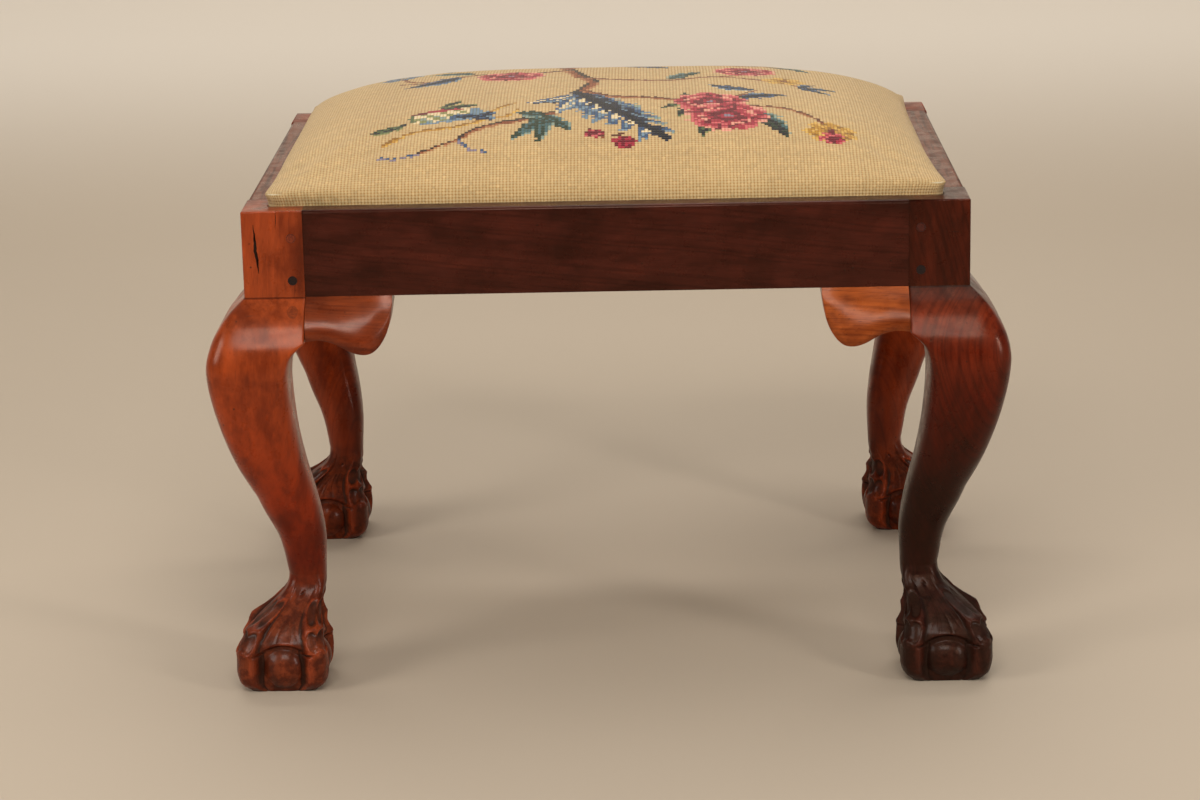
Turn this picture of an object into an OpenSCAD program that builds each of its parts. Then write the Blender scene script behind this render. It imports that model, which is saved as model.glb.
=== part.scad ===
// Footstool: four cabriole legs with ball-and-claw feet carry four tenoned
// rails. A needlepoint seat on its own frame drops into the rails' rebate.
// Millimetres. The origin is on the floor under the middle of the stool,
// +X to the right, +Y to the back, +Z up.
// Each corner is drawn in its own frame: u and v run inwards from the
// outer corner of the post, along the long rail and along the short rail.

/* [Rails and posts] */
// Width over the corner posts, left to right
frame_w = 545; // [500:1:600]
// Depth over the corner posts, front to back
frame_d = 425; // [390:1:470]
// Height of the rails' top above the floor
frame_h = 376; // [350:1:420]
// Height of the rails and of the posts beside them
rail_h = 66; // [60:1:76]
// Thickness of the rails
rail_t = 30; // [28:0.5:33]
// Side of the square corner posts
post_w = 46; // [43:1:50]
// Width of the lip that shows round the seat
lip_w = 18; // [17:0.5:20]
// Depth of the rebate that the seat drops into
rebate_h = 14; // [11:0.5:17]
// Radius on the rails' top outer edge
rail_edge_r = 3; // [1:0.5:4]
// How far the rails' faces lie behind the posts'
rail_setback = 0.5; // [0.2:0.1:1]

/* [Mortise and tenon joints] */
// Thickness of the tenons
tenon_t = 9; // [7:0.5:9]
// Length of the tenons
tenon_l = 27; // [22:0.5:28]
// Distance of the tenons from the outer faces
tenon_cheek = 8; // [7:0.5:8.5]
// Height of the shoulder under the tenons
tenon_shoulder = 6; // [4:0.5:10]
// Space for glue at the end of the tenons
glue_gap = 1; // [0.5:0.1:1.5]
// Diameter of the pegs
peg_d = 7; // [5:0.5:8]
// Length of the pegs
peg_l = 26; // [20:0.5:30]
// Distance of the pegs from the joint line
peg_back = 9; // [7:0.5:11]
// Distance of the pegs from the rail's top and bottom
peg_edge = 21; // [16:0.5:22]
// Space round a peg in its hole
peg_fit = 0.05; // [0.02:0.01:0.1]

/* [Cabriole legs] */
// How far the knee stands out past the post
knee_swell = 30; // [24:0.5:34]
// How far the leg is hollowed behind the knee
knee_hollow = 14; // [10:0.5:17]
// Height of the ankle above the floor
ankle_h = 84; // [74:1:92]
// Width of the ankle
ankle_w = 29; // [25:0.5:32]
// Distance of the ankle's middle from the corner, both ways
ankle_inset = 35; // [32:0.5:38]
// Distance of the foot's middle from the corner, both ways
foot_inset = 16.5; // [14:0.5:20]
// Width of the foot over the claws
foot_w = 72; // [66:1:78]
// Diameter of the ball that the claws hold
ball_d = 68; // [60:1:71]

/* [Knee blocks] */
// Length of a knee block along the rail
block_l = 65; // [55:1:75]
// Drop of a knee block's lobe below the rail
block_drop = 42; // [36:1:46]
// Thickness of a knee block behind the rail's face
block_t = 24; // [18:1:27]

/* [Corner blocks] */
// Length of a corner block along each rail
brace_l = 80; // [70:1:90]
// Height of a corner block
brace_h = 34; // [28:1:36]
// Width of a corner block's blunt ends
brace_tip = 8; // [6:0.5:10]
// Drop of the corner blocks below the seat's ledge
brace_drop = 5; // [4:0.5:7]
// Diameter of a screw's shank
screw_d = 4; // [3:0.1:4.5]
// Diameter of a screw's head
screw_head_d = 8; // [7:0.1:9]
// Height of a screw's head
screw_head_h = 3; // [2:0.1:4]
// Length of wood under a screw's head in the corner block
screw_grip = 12; // [9:0.5:13]
// Depth of a screw in the rail
screw_bite = 13; // [9:0.5:15]
// Space round a screw and its head
screw_fit = 0.1; // [0.05:0.05:0.2]

/* [Seat] */
// Space between the seat and the rebate
seat_gap = 0.5; // [0.3:0.1:1]
// Height of the seat's crown above the rails
crown_h = 58; // [44:1:64]
// Height above the rails at which the seat's side turns into its crown
seat_edge_h = 9; // [8:0.5:12]
// Radius of the seat's corners
seat_corner_r = 14; // [10:0.5:20]
// How far the seat's sides draw in between its corners
seat_draw = 2; // [0:0.5:3]
// Thickness of the needlepoint cover
cover_t = 2; // [1.5:0.1:2.5]
// Thickness of the calico lining
lining_t = 0.6; // [0.5:0.1:0.8]
// Space between layers of cloth
layer_gap = 0.3; // [0.2:0.05:0.4]
// Width of the cover's edge turned under the seat frame
turn_under = 24; // [22:0.5:30]

/* [Seat frame] */
// Width of the seat frame's members
member_w = 50; // [44:1:56]
// Thickness of the seat frame's members
member_t = 16; // [14:0.5:16]
// Length of the seat frame's tenons
member_tenon_l = 32; // [26:0.5:36]
// Thickness of the seat frame's tenons
member_tenon_t = 6; // [4:0.5:7]
// Width cut from each side of a member to make its tenon
member_shoulder = 8; // [6:0.5:10]
// Diameter of the seat frame's dowels
dowel_d = 6; // [5:0.5:7]

/* [Webbing and tacks] */
// Width of a webbing strap
strap_w = 50; // [40:1:56]
// Thickness of a webbing strap
strap_t = 1.2; // [0.8:0.1:1.2]
// Number of straps from side to side
long_straps = 3; // [2:1:3]
// Number of straps from front to back
cross_straps = 4; // [3:1:5]
// Distance of a strap's end from the edge of the seat frame
strap_margin = 10; // [8:0.5:16]
// Thickness of the hessian
hessian_t = 0.7; // [0.5:0.1:0.8]
// Diameter of a tack's head
tack_head_d = 6; // [4:0.5:7]
// Thickness of a tack's head
tack_head_t = 0.8; // [0.6:0.1:1]
// Diameter of a tack's shank
tack_d = 1.6; // [1:0.1:2]
// Length of a tack's shank
tack_l = 8; // [6:0.5:8.5]
// Distance of the cover's tacks from the seat's side
tack_inset = 18; // [16:0.5:20]
// Longest distance between two of the cover's tacks
tack_pitch = 46; // [30:1:60]

/* [Hidden] */

// Cuts run this far past the faces that they open
overrun = 1;
// Sides of the round holes, pegs, screws and dowels
$fn = 32;

// Colours as the photograph shows them
old_mahogany = [0.50, 0.19, 0.08];
dark_mahogany = [0.26, 0.09, 0.05];
pale_mahogany = [0.72, 0.33, 0.13];
peg_wood = [0.16, 0.08, 0.05];
plain_timber = [0.66, 0.50, 0.32];
jute = [0.62, 0.49, 0.30];
hair = [0.30, 0.24, 0.18];
calico = [0.86, 0.82, 0.72];
needlepoint = [0.74, 0.58, 0.33];
iron = [0.25, 0.25, 0.26];

// Corners, as [left or right, front or back]
front_left = [-1, -1];
front_right = [1, -1];
back_left = [-1, 1];
back_right = [1, 1];
corners = [front_left, front_right, back_left, back_right];

// Rails and posts
leg_top = frame_h - rail_h;
ledge_h = frame_h - rebate_h;
tenon_bottom = leg_top + tenon_shoulder;
tenon_h = ledge_h - tenon_bottom;
peg_heights = [leg_top + peg_edge * 0.6, frame_h - peg_edge];
peg_place = post_w - peg_back;

// Seat: half sizes of its outside, and of each layer inside it
seat_a = frame_w / 2 - lip_w - seat_gap;
seat_b = frame_d / 2 - lip_w - seat_gap;
lining_in = cover_t + layer_gap;
member_in = lining_in + lining_t + layer_gap;
member_bottom = ledge_h + cover_t + layer_gap;
member_top = member_bottom + member_t;
hessian_bottom = member_top + 2 * strap_t;
pad_bottom = hessian_bottom + hessian_t + layer_gap;
edge_level = frame_h + seat_edge_h;
crown = crown_h - seat_edge_h;

// Smooth curve through the rows of a table, whose first column is the
// share along the curve. It gives column k at share s.
function row_at(rows, s, i = 0) =
    i < len(rows) - 2 && s > rows[i + 1][0] ? row_at(rows, s, i + 1) : i;
function slope(rows, k, i) =
    let (a = max(i - 1, 0), b = min(i + 1, len(rows) - 1))
    (rows[b][k] - rows[a][k]) / (rows[b][0] - rows[a][0]);
function curve(rows, k, s) =
    let (
        i = row_at(rows, s),
        step = rows[i + 1][0] - rows[i][0],
        t = (s - rows[i][0]) / step
    )
    rows[i][k] * (1 + 2 * t) * (1 - t) * (1 - t)
    + slope(rows, k, i) * step * t * (1 - t) * (1 - t)
    + rows[i + 1][k] * t * t * (3 - 2 * t)
    + slope(rows, k, i + 1) * step * t * t * (t - 1);

// Closed skin over a row of rings, each of the same number of points and
// drawn clockwise as seen from the next ring. A fan of triangles closes
// each end at the middle of its ring. From the ring called turn on, where
// a shell's rings come back along its inside, each patch is split along
// its other diagonal, so that nested shells have the same facets.
function sum(points, i = 0) =
    i < len(points) - 1 ? points[i] + sum(points, i + 1) : points[i];
module skin(rings, turn = 0) {
    n = len(rings[0]);
    last = len(rings) - 1;
    first_middle = n * len(rings);
    polyhedron(
        points = concat(
            [for (ring = rings) each ring],
            [sum(rings[0]) / n, sum(rings[last]) / n]
        ),
        faces = concat(
            [for (r = [0 : last - 1], i = [0 : n - 1])
                let (
                    a = r * n + i,
                    b = r * n + (i + 1) % n,
                    c = (r + 1) * n + (i + 1) % n,
                    d = (r + 1) * n + i
                )
                each r < turn ? [[a, b, c], [a, c, d]] : [[a, b, d], [b, c, d]]],
            [for (i = [0 : n - 1]) [(i + 1) % n, i, first_middle]],
            [for (i = [0 : n - 1]) [last * n + i, last * n + (i + 1) % n, first_middle + 1]]
        ),
        convexity = 6
    );
}

// Draws its children at a corner, mirrored so that u and v run inwards
module at_corner(corner) {
    translate([corner.x * frame_w / 2, corner.y * frame_d / 2, 0])
        mirror([corner.x > 0 ? 1 : 0, 0, 0])
            mirror([0, corner.y > 0 ? 1 : 0, 0])
                children();
}

// Swaps u and v, from the long rail to the short one
module on_short_rail() {
    mirror([1, -1, 0]) children();
}

// Leg: its section is a square with rounded corners, whose outer and inner
// faces follow the two sawn curves. Columns: share of the way from the
// post down to the ankle, outer face (-1 at the knee's swell, 1 at the
// ankle), roundness of the outer edge.
leg_outer_shares = [
    [0, 0, 0.06], [0.045, -0.37, 0.2], [0.09, -0.63, 0.3],
    [0.16, -0.9, 0.4], [0.245, -1, 0.48], [0.4, -0.83, 0.55],
    [0.58, -0.42, 0.6], [0.75, 0.19, 0.68], [0.87, 0.72, 0.75], [1, 1, 0.8]
];
// Share of the leg above which its sides stay flat for the knee blocks
knee_line_share = 0.135;
// Columns: share down the leg, depth of the hollow behind the knee, way
// from the post's inner line to the ankle's, roundness of the inner edges
leg_inner_shares = [
    [0.135, 0, 0, 0.04], [0.177, 0.67, 0, 0.25], [0.22, 0.93, 0.02, 0.4],
    [0.29, 1, 0.05, 0.5], [0.44, 0.86, 0.2, 0.6], [0.58, 0.57, 0.45, 0.65],
    [0.75, 0.1, 0.75, 0.7], [0.87, -0.08, 0.9, 0.75], [1, 0, 1, 0.8]
];
// Places of the rings down the leg
leg_ring_shares = [
    0, 0.022, 0.05, 0.09, 0.135, 0.155, 0.18, 0.21, 0.25, 0.31,
    0.39, 0.48, 0.57, 0.66, 0.75, 0.84, 0.92, 1
];
ring_points = 40;
ankle_face = ankle_inset - ankle_w / 2;
ankle_back = ankle_inset + ankle_w / 2;

function leg_outer(s) =
    let (share = curve(leg_outer_shares, 1, s))
    share * (share < 0 ? knee_swell : ankle_face);
function leg_inner(s) = s <= knee_line_share ? post_w :
    post_w - knee_hollow * curve(leg_inner_shares, 1, s)
    + (ankle_back - post_w) * curve(leg_inner_shares, 2, s);
function inner_round(s) = s <= knee_line_share ? leg_inner_shares[0][3] :
    curve(leg_inner_shares, 3, s);
// One coordinate of a rounded square of half size 1
function rounded(c, e) = sign(c) * pow(abs(c), e);
function leg_ring(s) =
    let (
        outer = leg_outer(s),
        half = (leg_inner(s) - outer) / 2,
        z = leg_top - s * (leg_top - ankle_h)
    )
    [for (i = [0 : ring_points - 1])
        let (
            t = 360 * i / ring_points,
            e = t > 180 && t < 270 ? curve(leg_outer_shares, 2, s) : inner_round(s)
        )
        [outer + half * (1 + rounded(cos(t), e)),
         outer + half * (1 + rounded(sin(t), e)), z]];

// Foot: four claws on the diagonals over a ball. Columns: share of the
// ankle's height, way of the middle from the foot to the ankle, radius of
// the ball or of the web over it, radius of the claws.
foot_shares = [
    [0, 0, 0.74, 0.84], [0.03, 0, 0.81, 0.9], [0.08, 0, 0.9, 0.95],
    [0.15, 0, 0.97, 0.98], [0.22, 0, 1, 0.985], [0.29, 0, 0.985, 0.98],
    [0.35, 0, 0.93, 0.96], [0.385, 0, 0.885, 1.015], [0.42, 0, 0.86, 1],
    [0.46, 0.01, 0.895, 0.93], [0.51, 0.04, 0.85, 0.875], [0.57, 0.1, 0.78, 0.82],
    [0.63, 0.22, 0.71, 0.745], [0.71, 0.45, 0.6, 0.58], [0.8, 0.74, 0.49, 0.43],
    [0.9, 0.95, 0.44, 0.345]
];
// How far the section stands out towards the claw's radius, in equal
// steps of angle from the middle of a claw to the middle of a side
claw_shares = [1, 0.74, 0.1, -0.13, -0.03, 0];
// Radius over the claws for the foot's width
claw_r = foot_w / 2 * 1.35;

function claw_share(t) =
    let (
        step = 360 / ring_points,
        off = abs((t + 360) % 90 - 45) / step
    )
    claw_shares[round(off)];
function foot_ring(row) =
    let (
        middle = foot_inset + row[1] * (ankle_inset - foot_inset),
        web = row[2] * ball_d / 2,
        claw = row[3] * claw_r
    )
    [for (i = [0 : ring_points - 1])
        let (
            t = 360 * i / ring_points,
            r = web + (claw - web) * claw_share(t)
        )
        [middle + r * cos(t), middle + r * sin(t), row[0] * ankle_h]];

// Top ring, sunk into the post so that leg and post are one solid
post_sink = 4;
function sunk_ring() = [for (p = leg_ring(0))
    [post_w / 2 + (p.x - post_w / 2) * 0.9,
     post_w / 2 + (p.y - post_w / 2) * 0.9, leg_top + post_sink]];

module cabriole() {
    rings = concat(
        [for (row = foot_shares) foot_ring(row)],
        [for (i = [len(leg_ring_shares) - 1 : -1 : 0]) leg_ring(leg_ring_shares[i])],
        [sunk_ring()]
    );
    skin([for (i = [len(rings) - 1 : -1 : 0]) rings[i]]);
}

// Mortise for a long rail's tenon
module mortise() {
    translate([post_w - tenon_l - glue_gap, tenon_cheek, tenon_bottom])
        cube([tenon_l + glue_gap + overrun, tenon_t, tenon_h]);
}

// The two peg holes of a long rail's joint, or pegs of the same form
module joint_pegs(d, length, start) {
    for (z = peg_heights)
        translate([peg_place, start, z])
            rotate([-90, 0, 0])
                cylinder(d = d, h = length);
}

module joint_peg_holes() {
    joint_pegs(peg_d + 2 * peg_fit, peg_l + overrun, -overrun);
}

module leg(corner) {
    color(corner.x > 0 ? dark_mahogany : old_mahogany)
        at_corner(corner)
            difference() {
                union() {
                    translate([0, 0, leg_top]) cube([post_w, post_w, rail_h]);
                    cabriole();
                }
                translate([lip_w, lip_w, ledge_h])
                    cube([post_w, post_w, rebate_h + overrun]);
                mortise();
                on_short_rail() mortise();
                joint_peg_holes();
                on_short_rail() joint_peg_holes();
            }
}

module pegs(corner) {
    color(peg_wood)
        at_corner(corner) {
            joint_pegs(peg_d, peg_l, 0);
            on_short_rail() joint_pegs(peg_d, peg_l, 0);
        }
}

// Knee block: its lower edge is a cyma curve. Columns: share of the
// block's length from the leg, share of its drop.
block_edge_shares = [
    [0, 0.735], [0.17, 0.72], [0.34, 0.79], [0.52, 0.94],
    [0.65, 1], [0.77, 0.97], [0.88, 0.8], [0.96, 0.52], [1, 0.16]
];
// How much of the knee's swell is left along the block
block_swell_shares = [[0, 1], [0.4, 0.92], [0.75, 0.7], [1, 0.38]];
// Places of the sections along the block
block_section_shares = [0, 0.12, 0.24, 0.35, 0.45, 0.55, 0.65, 0.74, 0.82, 0.89, 0.95, 1];
// Points down the swelling face of one section
block_face_shares = [0, 0.16, 0.34, 0.52, 0.7, 0.86, 1];
// Share of the swell lost where the face rounds under at the bottom
block_tuck_share = 0.3;

function block_section(s) =
    let (
        drop = block_drop * curve(block_edge_shares, 1, s),
        swell = curve(block_swell_shares, 1, s),
        u = post_w + s * block_l
    )
    concat(
        [[u, block_t, leg_top]],
        [for (f = block_face_shares)
            let (
                down = f * drop,
                out = leg_outer(down / (leg_top - ankle_h)) * swell
            )
            [u, rail_setback + out * (1 - block_tuck_share * pow(f, 5)), leg_top - down]],
        [[u, block_t, leg_top - drop]]
    );

module knee_block_form() {
    count = len(block_section_shares);
    skin([for (i = [count - 1 : -1 : 0]) block_section(block_section_shares[i])]);
}

module knee_block_long(corner) {
    color(corner.x > 0 ? pale_mahogany : old_mahogany)
        at_corner(corner) knee_block_form();
}

module knee_block_short(corner) {
    color(corner.x > 0 ? dark_mahogany : old_mahogany)
        at_corner(corner) on_short_rail() knee_block_form();
}

// Cross-section of a rail: x inwards from the post's face, y up
module rail_section() {
    difference() {
        union() {
            translate([rail_setback, leg_top])
                square([rail_t - rail_setback, rail_h - rail_edge_r]);
            translate([rail_setback + rail_edge_r, leg_top])
                square([rail_t - rail_setback - rail_edge_r, rail_h]);
            translate([rail_setback + rail_edge_r, frame_h - rail_edge_r])
                circle(r = rail_edge_r);
        }
        translate([lip_w, ledge_h])
            square([rail_t, rebate_h + overrun]);
    }
}

// A screw through a corner block into the long rail, and its holes
screw_place = rail_t + 0.7 * brace_l;
screw_level = ledge_h - brace_drop - brace_h / 2;
module brace_screw(fit) {
    translate([screw_place, rail_t, screw_level])
        rotate([90, 0, 0]) {
            translate([0, 0, -screw_grip - fit])
                cylinder(d = screw_d + 2 * fit, h = screw_grip + screw_bite + 2 * fit);
            translate([0, 0, -screw_grip - screw_head_h])
                cylinder(d = screw_head_d + 2 * fit, h = screw_head_h);
        }
}

// Rail along X between two front corners, for a frame of the given width.
// It lies at y = 0 with its outer face to the front.
module rail_form(width) {
    inner_w = width - 2 * post_w;
    difference() {
        union() {
            translate([-inner_w / 2, 0, 0])
                rotate([90, 0, 90])
                    linear_extrude(inner_w) rail_section();
            translate([-inner_w / 2 - tenon_l, tenon_cheek, tenon_bottom])
                cube([inner_w + 2 * tenon_l, tenon_t, tenon_h]);
        }
        for (side = [0, 1])
            mirror([side, 0, 0])
                translate([-width / 2, 0, 0]) {
                    joint_peg_holes();
                    brace_screw(screw_fit);
                }
    }
}

module long_rail(side) {
    color(dark_mahogany)
        mirror([0, side > 0 ? 1 : 0, 0])
            translate([0, -frame_d / 2, 0]) rail_form(frame_w);
}

module short_rail(side) {
    color(dark_mahogany)
        mirror([side > 0 ? 1 : 0, 0, 0])
            translate([-frame_w / 2, 0, 0])
                rotate([0, 0, -90]) rail_form(frame_d);
}

// Corner block: fills the angle of two rails behind the post
module corner_block(corner) {
    far = rail_t + brace_l;
    color(plain_timber)
        at_corner(corner)
            difference() {
                translate([0, 0, ledge_h - brace_drop - brace_h])
                    linear_extrude(brace_h)
                        polygon([
                            [post_w, rail_t], [far, rail_t],
                            [far, rail_t + brace_tip], [rail_t + brace_tip, far],
                            [rail_t, far], [rail_t, post_w], [post_w, post_w]
                        ]);
                screw_pocket();
                on_short_rail() screw_pocket();
            }
}

// Hole for a screw with a pocket for its head, open to the slanting face
module screw_pocket() {
    translate([screw_place, rail_t, screw_level])
        rotate([-90, 0, 0]) {
            translate([0, 0, -overrun])
                cylinder(d = screw_d + 2 * screw_fit, h = screw_grip + 2 * overrun);
            translate([0, 0, screw_grip])
                cylinder(d = screw_head_d + 2 * screw_fit, h = brace_l);
        }
}

module corner_block_screws() {
    color(iron)
        for (corner = corners)
            at_corner(corner) {
                brace_screw(0);
                on_short_rail() brace_screw(0);
            }
}

// Plan of the seat frame with rounded outer corners
member_a = seat_a - member_in;
member_b = seat_b - member_in;
member_corner_r = seat_corner_r - member_in;
module seat_frame_plan() {
    square([2 * (member_a - member_corner_r), 2 * member_b], center = true);
    square([2 * member_a, 2 * (member_b - member_corner_r)], center = true);
    for (corner = corners)
        translate([corner.x * (member_a - member_corner_r),
                   corner.y * (member_b - member_corner_r)])
            circle(r = member_corner_r);
}

// Places of the dowels over one corner's tenon
dowel_out = member_w * 0.3;
module seat_dowels(d) {
    for (corner = corners)
        for (share = [0.32, 0.68])
            translate([corner.x * (member_a - member_w * share),
                       corner.y * (member_b - member_w + dowel_out), member_bottom])
                cylinder(d = d, h = member_t);
}

// Tenon of a side member, at the front left corner
module seat_tenon(extra) {
    translate([-member_a + member_shoulder, -member_b + member_w - member_tenon_l - extra,
               member_bottom + (member_t - member_tenon_t) / 2])
        cube([member_w - 2 * member_shoulder, member_tenon_l + extra + overrun, member_tenon_t]);
}

module long_member(side) {
    color(plain_timber)
        mirror([0, side > 0 ? 1 : 0, 0])
            difference() {
                translate([0, 0, member_bottom])
                    linear_extrude(member_t)
                        intersection() {
                            seat_frame_plan();
                            translate([-member_a, -member_b])
                                square([2 * member_a, member_w]);
                        }
                for (end = [0, 1])
                    mirror([end, 0, 0]) seat_tenon(glue_gap);
                seat_dowels(dowel_d + 2 * peg_fit);
                webbing_tack_set(peg_fit);
                cover_tack_set(peg_fit);
            }
}

module short_member(side) {
    inner_d = 2 * (member_b - member_w);
    color(plain_timber)
        mirror([side > 0 ? 1 : 0, 0, 0])
            difference() {
                union() {
                    translate([-member_a, -inner_d / 2, member_bottom])
                        cube([member_w, inner_d, member_t]);
                    for (end = [0, 1])
                        mirror([0, end, 0]) seat_tenon(0);
                }
                seat_dowels(dowel_d + 2 * peg_fit);
                webbing_tack_set(peg_fit);
                cover_tack_set(peg_fit);
            }
}

module seat_frame_dowels() {
    color(pale_mahogany) seat_dowels(dowel_d);
}

// Middle of strap i of n, spread evenly over the frame's opening
function strap_place(i, n, half) = (2 * half) * ((i + 1) / (n + 1) - 0.5);
long_pitch_half = member_b - member_w * 0.5;
cross_pitch_half = member_a - member_w * 0.5;
function long_place(i) = strap_place(i, long_straps, long_pitch_half);
function cross_place(i) = strap_place(i, cross_straps, cross_pitch_half);

// A strap seen from its edge: it rises over every second strap it meets
strap_flat = strap_w * 0.56;
function strap_line(half, places, first) = concat(
    [[-half, 0]],
    [for (i = [0 : len(places) - 1]) for (end = [-1, 1])
        [places[i] + end * strap_flat, (i + first) % 2 == 0 ? strap_t : 0]],
    [[half, 0]]
);
function flat_on_frame(line, half) = concat(
    [line[0], [-half + member_w, 0]],
    [for (i = [1 : len(line) - 2]) line[i]],
    [[half - member_w, 0], line[len(line) - 1]]
);

module strap(half, places, first) {
    line = flat_on_frame(strap_line(half, places, first), half);
    above = [for (p = line) p + [0, strap_t]];
    translate([0, strap_w / 2, member_top])
        rotate([90, 0, 0])
            linear_extrude(strap_w)
                polygon(concat(line, [for (i = [len(above) - 1 : -1 : 0]) above[i]]));
}

module webbing_long() {
    places = [for (j = [0 : cross_straps - 1]) cross_place(j)];
    color(jute)
        difference() {
            for (i = [0 : long_straps - 1])
                translate([0, long_place(i), 0])
                    strap(member_a - strap_margin, places, i);
            webbing_tack_set(peg_fit);
        }
}

module webbing_cross() {
    places = [for (i = [0 : long_straps - 1]) long_place(i)];
    color(jute)
        difference() {
            for (j = [0 : cross_straps - 1])
                translate([cross_place(j), 0, 0])
                    rotate([0, 0, 90])
                        strap(member_b - strap_margin, places, j + 1);
            webbing_tack_set(peg_fit);
        }
}

// A tack with its head at the origin and its shank up
module tack(fit) {
    translate([0, 0, -tack_head_t])
        cylinder(d = tack_head_d + 2 * fit, h = tack_head_t);
    cylinder(d = tack_d + 2 * fit, h = tack_l + fit);
}

// Three tacks at each end of every strap, heads on the webbing
tack_back = strap_margin + tack_head_d;
module webbing_tack_set(fit) {
    for (end = [-1, 1], across = [-1, 0, 1] * strap_w * 0.34) {
        for (i = [0 : long_straps - 1])
            translate([end * (member_a - tack_back), long_place(i) + across, member_top + strap_t])
                mirror([0, 0, 1]) tack(fit);
        for (j = [0 : cross_straps - 1])
            translate([cross_place(j) + across, end * (member_b - tack_back), member_top + strap_t])
                mirror([0, 0, 1]) tack(fit);
    }
}

module webbing_tacks() {
    color(iron) webbing_tack_set(0);
}

module hessian() {
    half = [member_a - strap_margin / 2, member_b - strap_margin / 2];
    color(jute)
        translate([-half.x, -half.y, hessian_bottom])
            cube([2 * half.x, 2 * half.y, hessian_t]);
}

// Tacks under the seat, kept clear of the posts that its corners rest on
tack_clear = 2 * post_w;
module cover_tack_set(fit) {
    long_run = frame_w - 2 * tack_clear;
    short_run = frame_d - 2 * tack_clear;
    for (end = [-1, 1]) {
        cover_tack_line(long_run, seat_b - tack_inset, end, fit);
        rotate([0, 0, 90]) cover_tack_line(short_run, seat_a - tack_inset, end, fit);
    }
}
module cover_tack_line(length, y, end, fit) {
    count = ceil(length / tack_pitch);
    for (i = [0 : count])
        translate([length * (i / count - 0.5), end * y, ledge_h]) tack(fit);
}

module cover_tacks() {
    color(iron) cover_tack_set(0);
}

// Seat layers: rings of points that follow a rounded rectangle. Each
// quarter has equal steps along half a side, round the corner and along
// the next half side.
side_steps = 4;
corner_steps = 4;
quarter_steps = 2 * side_steps + corner_steps;
seat_points = 4 * quarter_steps;

function quarter_point(j, a, b, r) =
    j <= side_steps ? [a, (b - r) * j / side_steps] :
    j <= side_steps + corner_steps ?
        let (t = 90 * (j - side_steps) / corner_steps)
        [a - r + r * cos(t), b - r + r * sin(t)] :
    [(a - r) * (quarter_steps - j) / side_steps, b];
function seat_point(i, a, b, r) =
    let (
        q = floor(i / quarter_steps),
        j = i % quarter_steps,
        p = quarter_point(q % 2 == 0 ? j : quarter_steps - j, a, b, r)
    )
    [q == 1 || q == 2 ? -p.x : p.x, q >= 2 ? -p.y : p.y];

// Rise of the crown at a place given in shares of the half sizes
crown_power_x = 3.5;
crown_power_y = 3;
function crown_share(x, y) =
    pow(max(1 - pow(abs(x), crown_power_x), 0), 0.5)
    * pow(max(1 - pow(abs(y), crown_power_y), 0), 0.8);

// Rings of the crown, from its edge to near its middle
crown_ring_shares = [1, 0.985, 0.96, 0.92, 0.86, 0.77, 0.65, 0.49, 0.31, 0.1];

// Radius of a layer's corners. in is the layer's distance inside the
// cover's outer face, on the sides and on the crown alike.
function corner_r(in) = max(seat_corner_r - in, layer_gap);

// A ring's point, drawn in towards the middle of each side by draw
function drawn_in(p, a, b, draw) = [
    p.x - sign(p.x) * draw * pow(abs(p.x) / a, 8) * cos(90 * p.y / b),
    p.y - sign(p.y) * draw * pow(abs(p.y) / b, 8) * cos(90 * p.x / a)
];

// A ring of the crown at a share of the layer's half sizes
function crown_ring(share, in) =
    let (
        a = seat_a - in,
        b = seat_b - in,
        r = corner_r(in) * share + (b - corner_r(in)) * (1 - share) * share
    )
    [for (i = [0 : seat_points - 1])
        let (
            p = seat_point(i, a * share, b * share, r),
            q = drawn_in(p, a, b, seat_draw * pow(share, 6))
        )
        [q.x, q.y, edge_level + (crown - in) * crown_share(p.x / a, p.y / b)]];

// A level ring down the side or under the seat
function side_ring(in, z, draw = 0) =
    let (a = seat_a - in, b = seat_b - in)
    [for (i = [0 : seat_points - 1])
        let (q = drawn_in(seat_point(i, a, b, corner_r(in)), a, b, draw))
        [q.x, q.y, z]];

// The crown's rings from near its middle out to its edge and down to the
// top of the seat frame, or back the same way
function crown_out(in) = concat(
    [for (i = [len(crown_ring_shares) - 1 : -1 : 0]) crown_ring(crown_ring_shares[i], in)],
    [side_ring(in, member_top)]
);
function crown_back(in) = concat(
    [side_ring(in, member_top)],
    [for (share = crown_ring_shares) crown_ring(share, in)]
);
crown_rings = len(crown_ring_shares) + 1;

module stuffing_pad() {
    color(hair)
        skin(
            concat(
                [for (i = [len(crown_ring_shares) - 1 : -1 : 0])
                    crown_ring(crown_ring_shares[i], member_in)],
                [side_ring(member_in, pad_bottom, seat_draw)]
            ),
            turn = crown_rings
        );
}

module calico_lining() {
    hem = member_bottom + member_t / 2;
    inside = lining_in + lining_t;
    color(calico)
        skin(
            concat(
                crown_out(lining_in),
                [side_ring(lining_in, hem), side_ring(inside, hem)],
                crown_back(inside)
            ),
            turn = crown_rings
        );
}

// Cover: over the crown, down the sides and turned under the seat frame
module needlepoint_cover() {
    color(needlepoint)
        skin(
            concat(
                crown_out(0),
                [side_ring(0, ledge_h), side_ring(turn_under, ledge_h)],
                [side_ring(turn_under, ledge_h + cover_t), side_ring(cover_t, ledge_h + cover_t)],
                crown_back(cover_t)
            ),
            turn = crown_rings
        );
}

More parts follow.
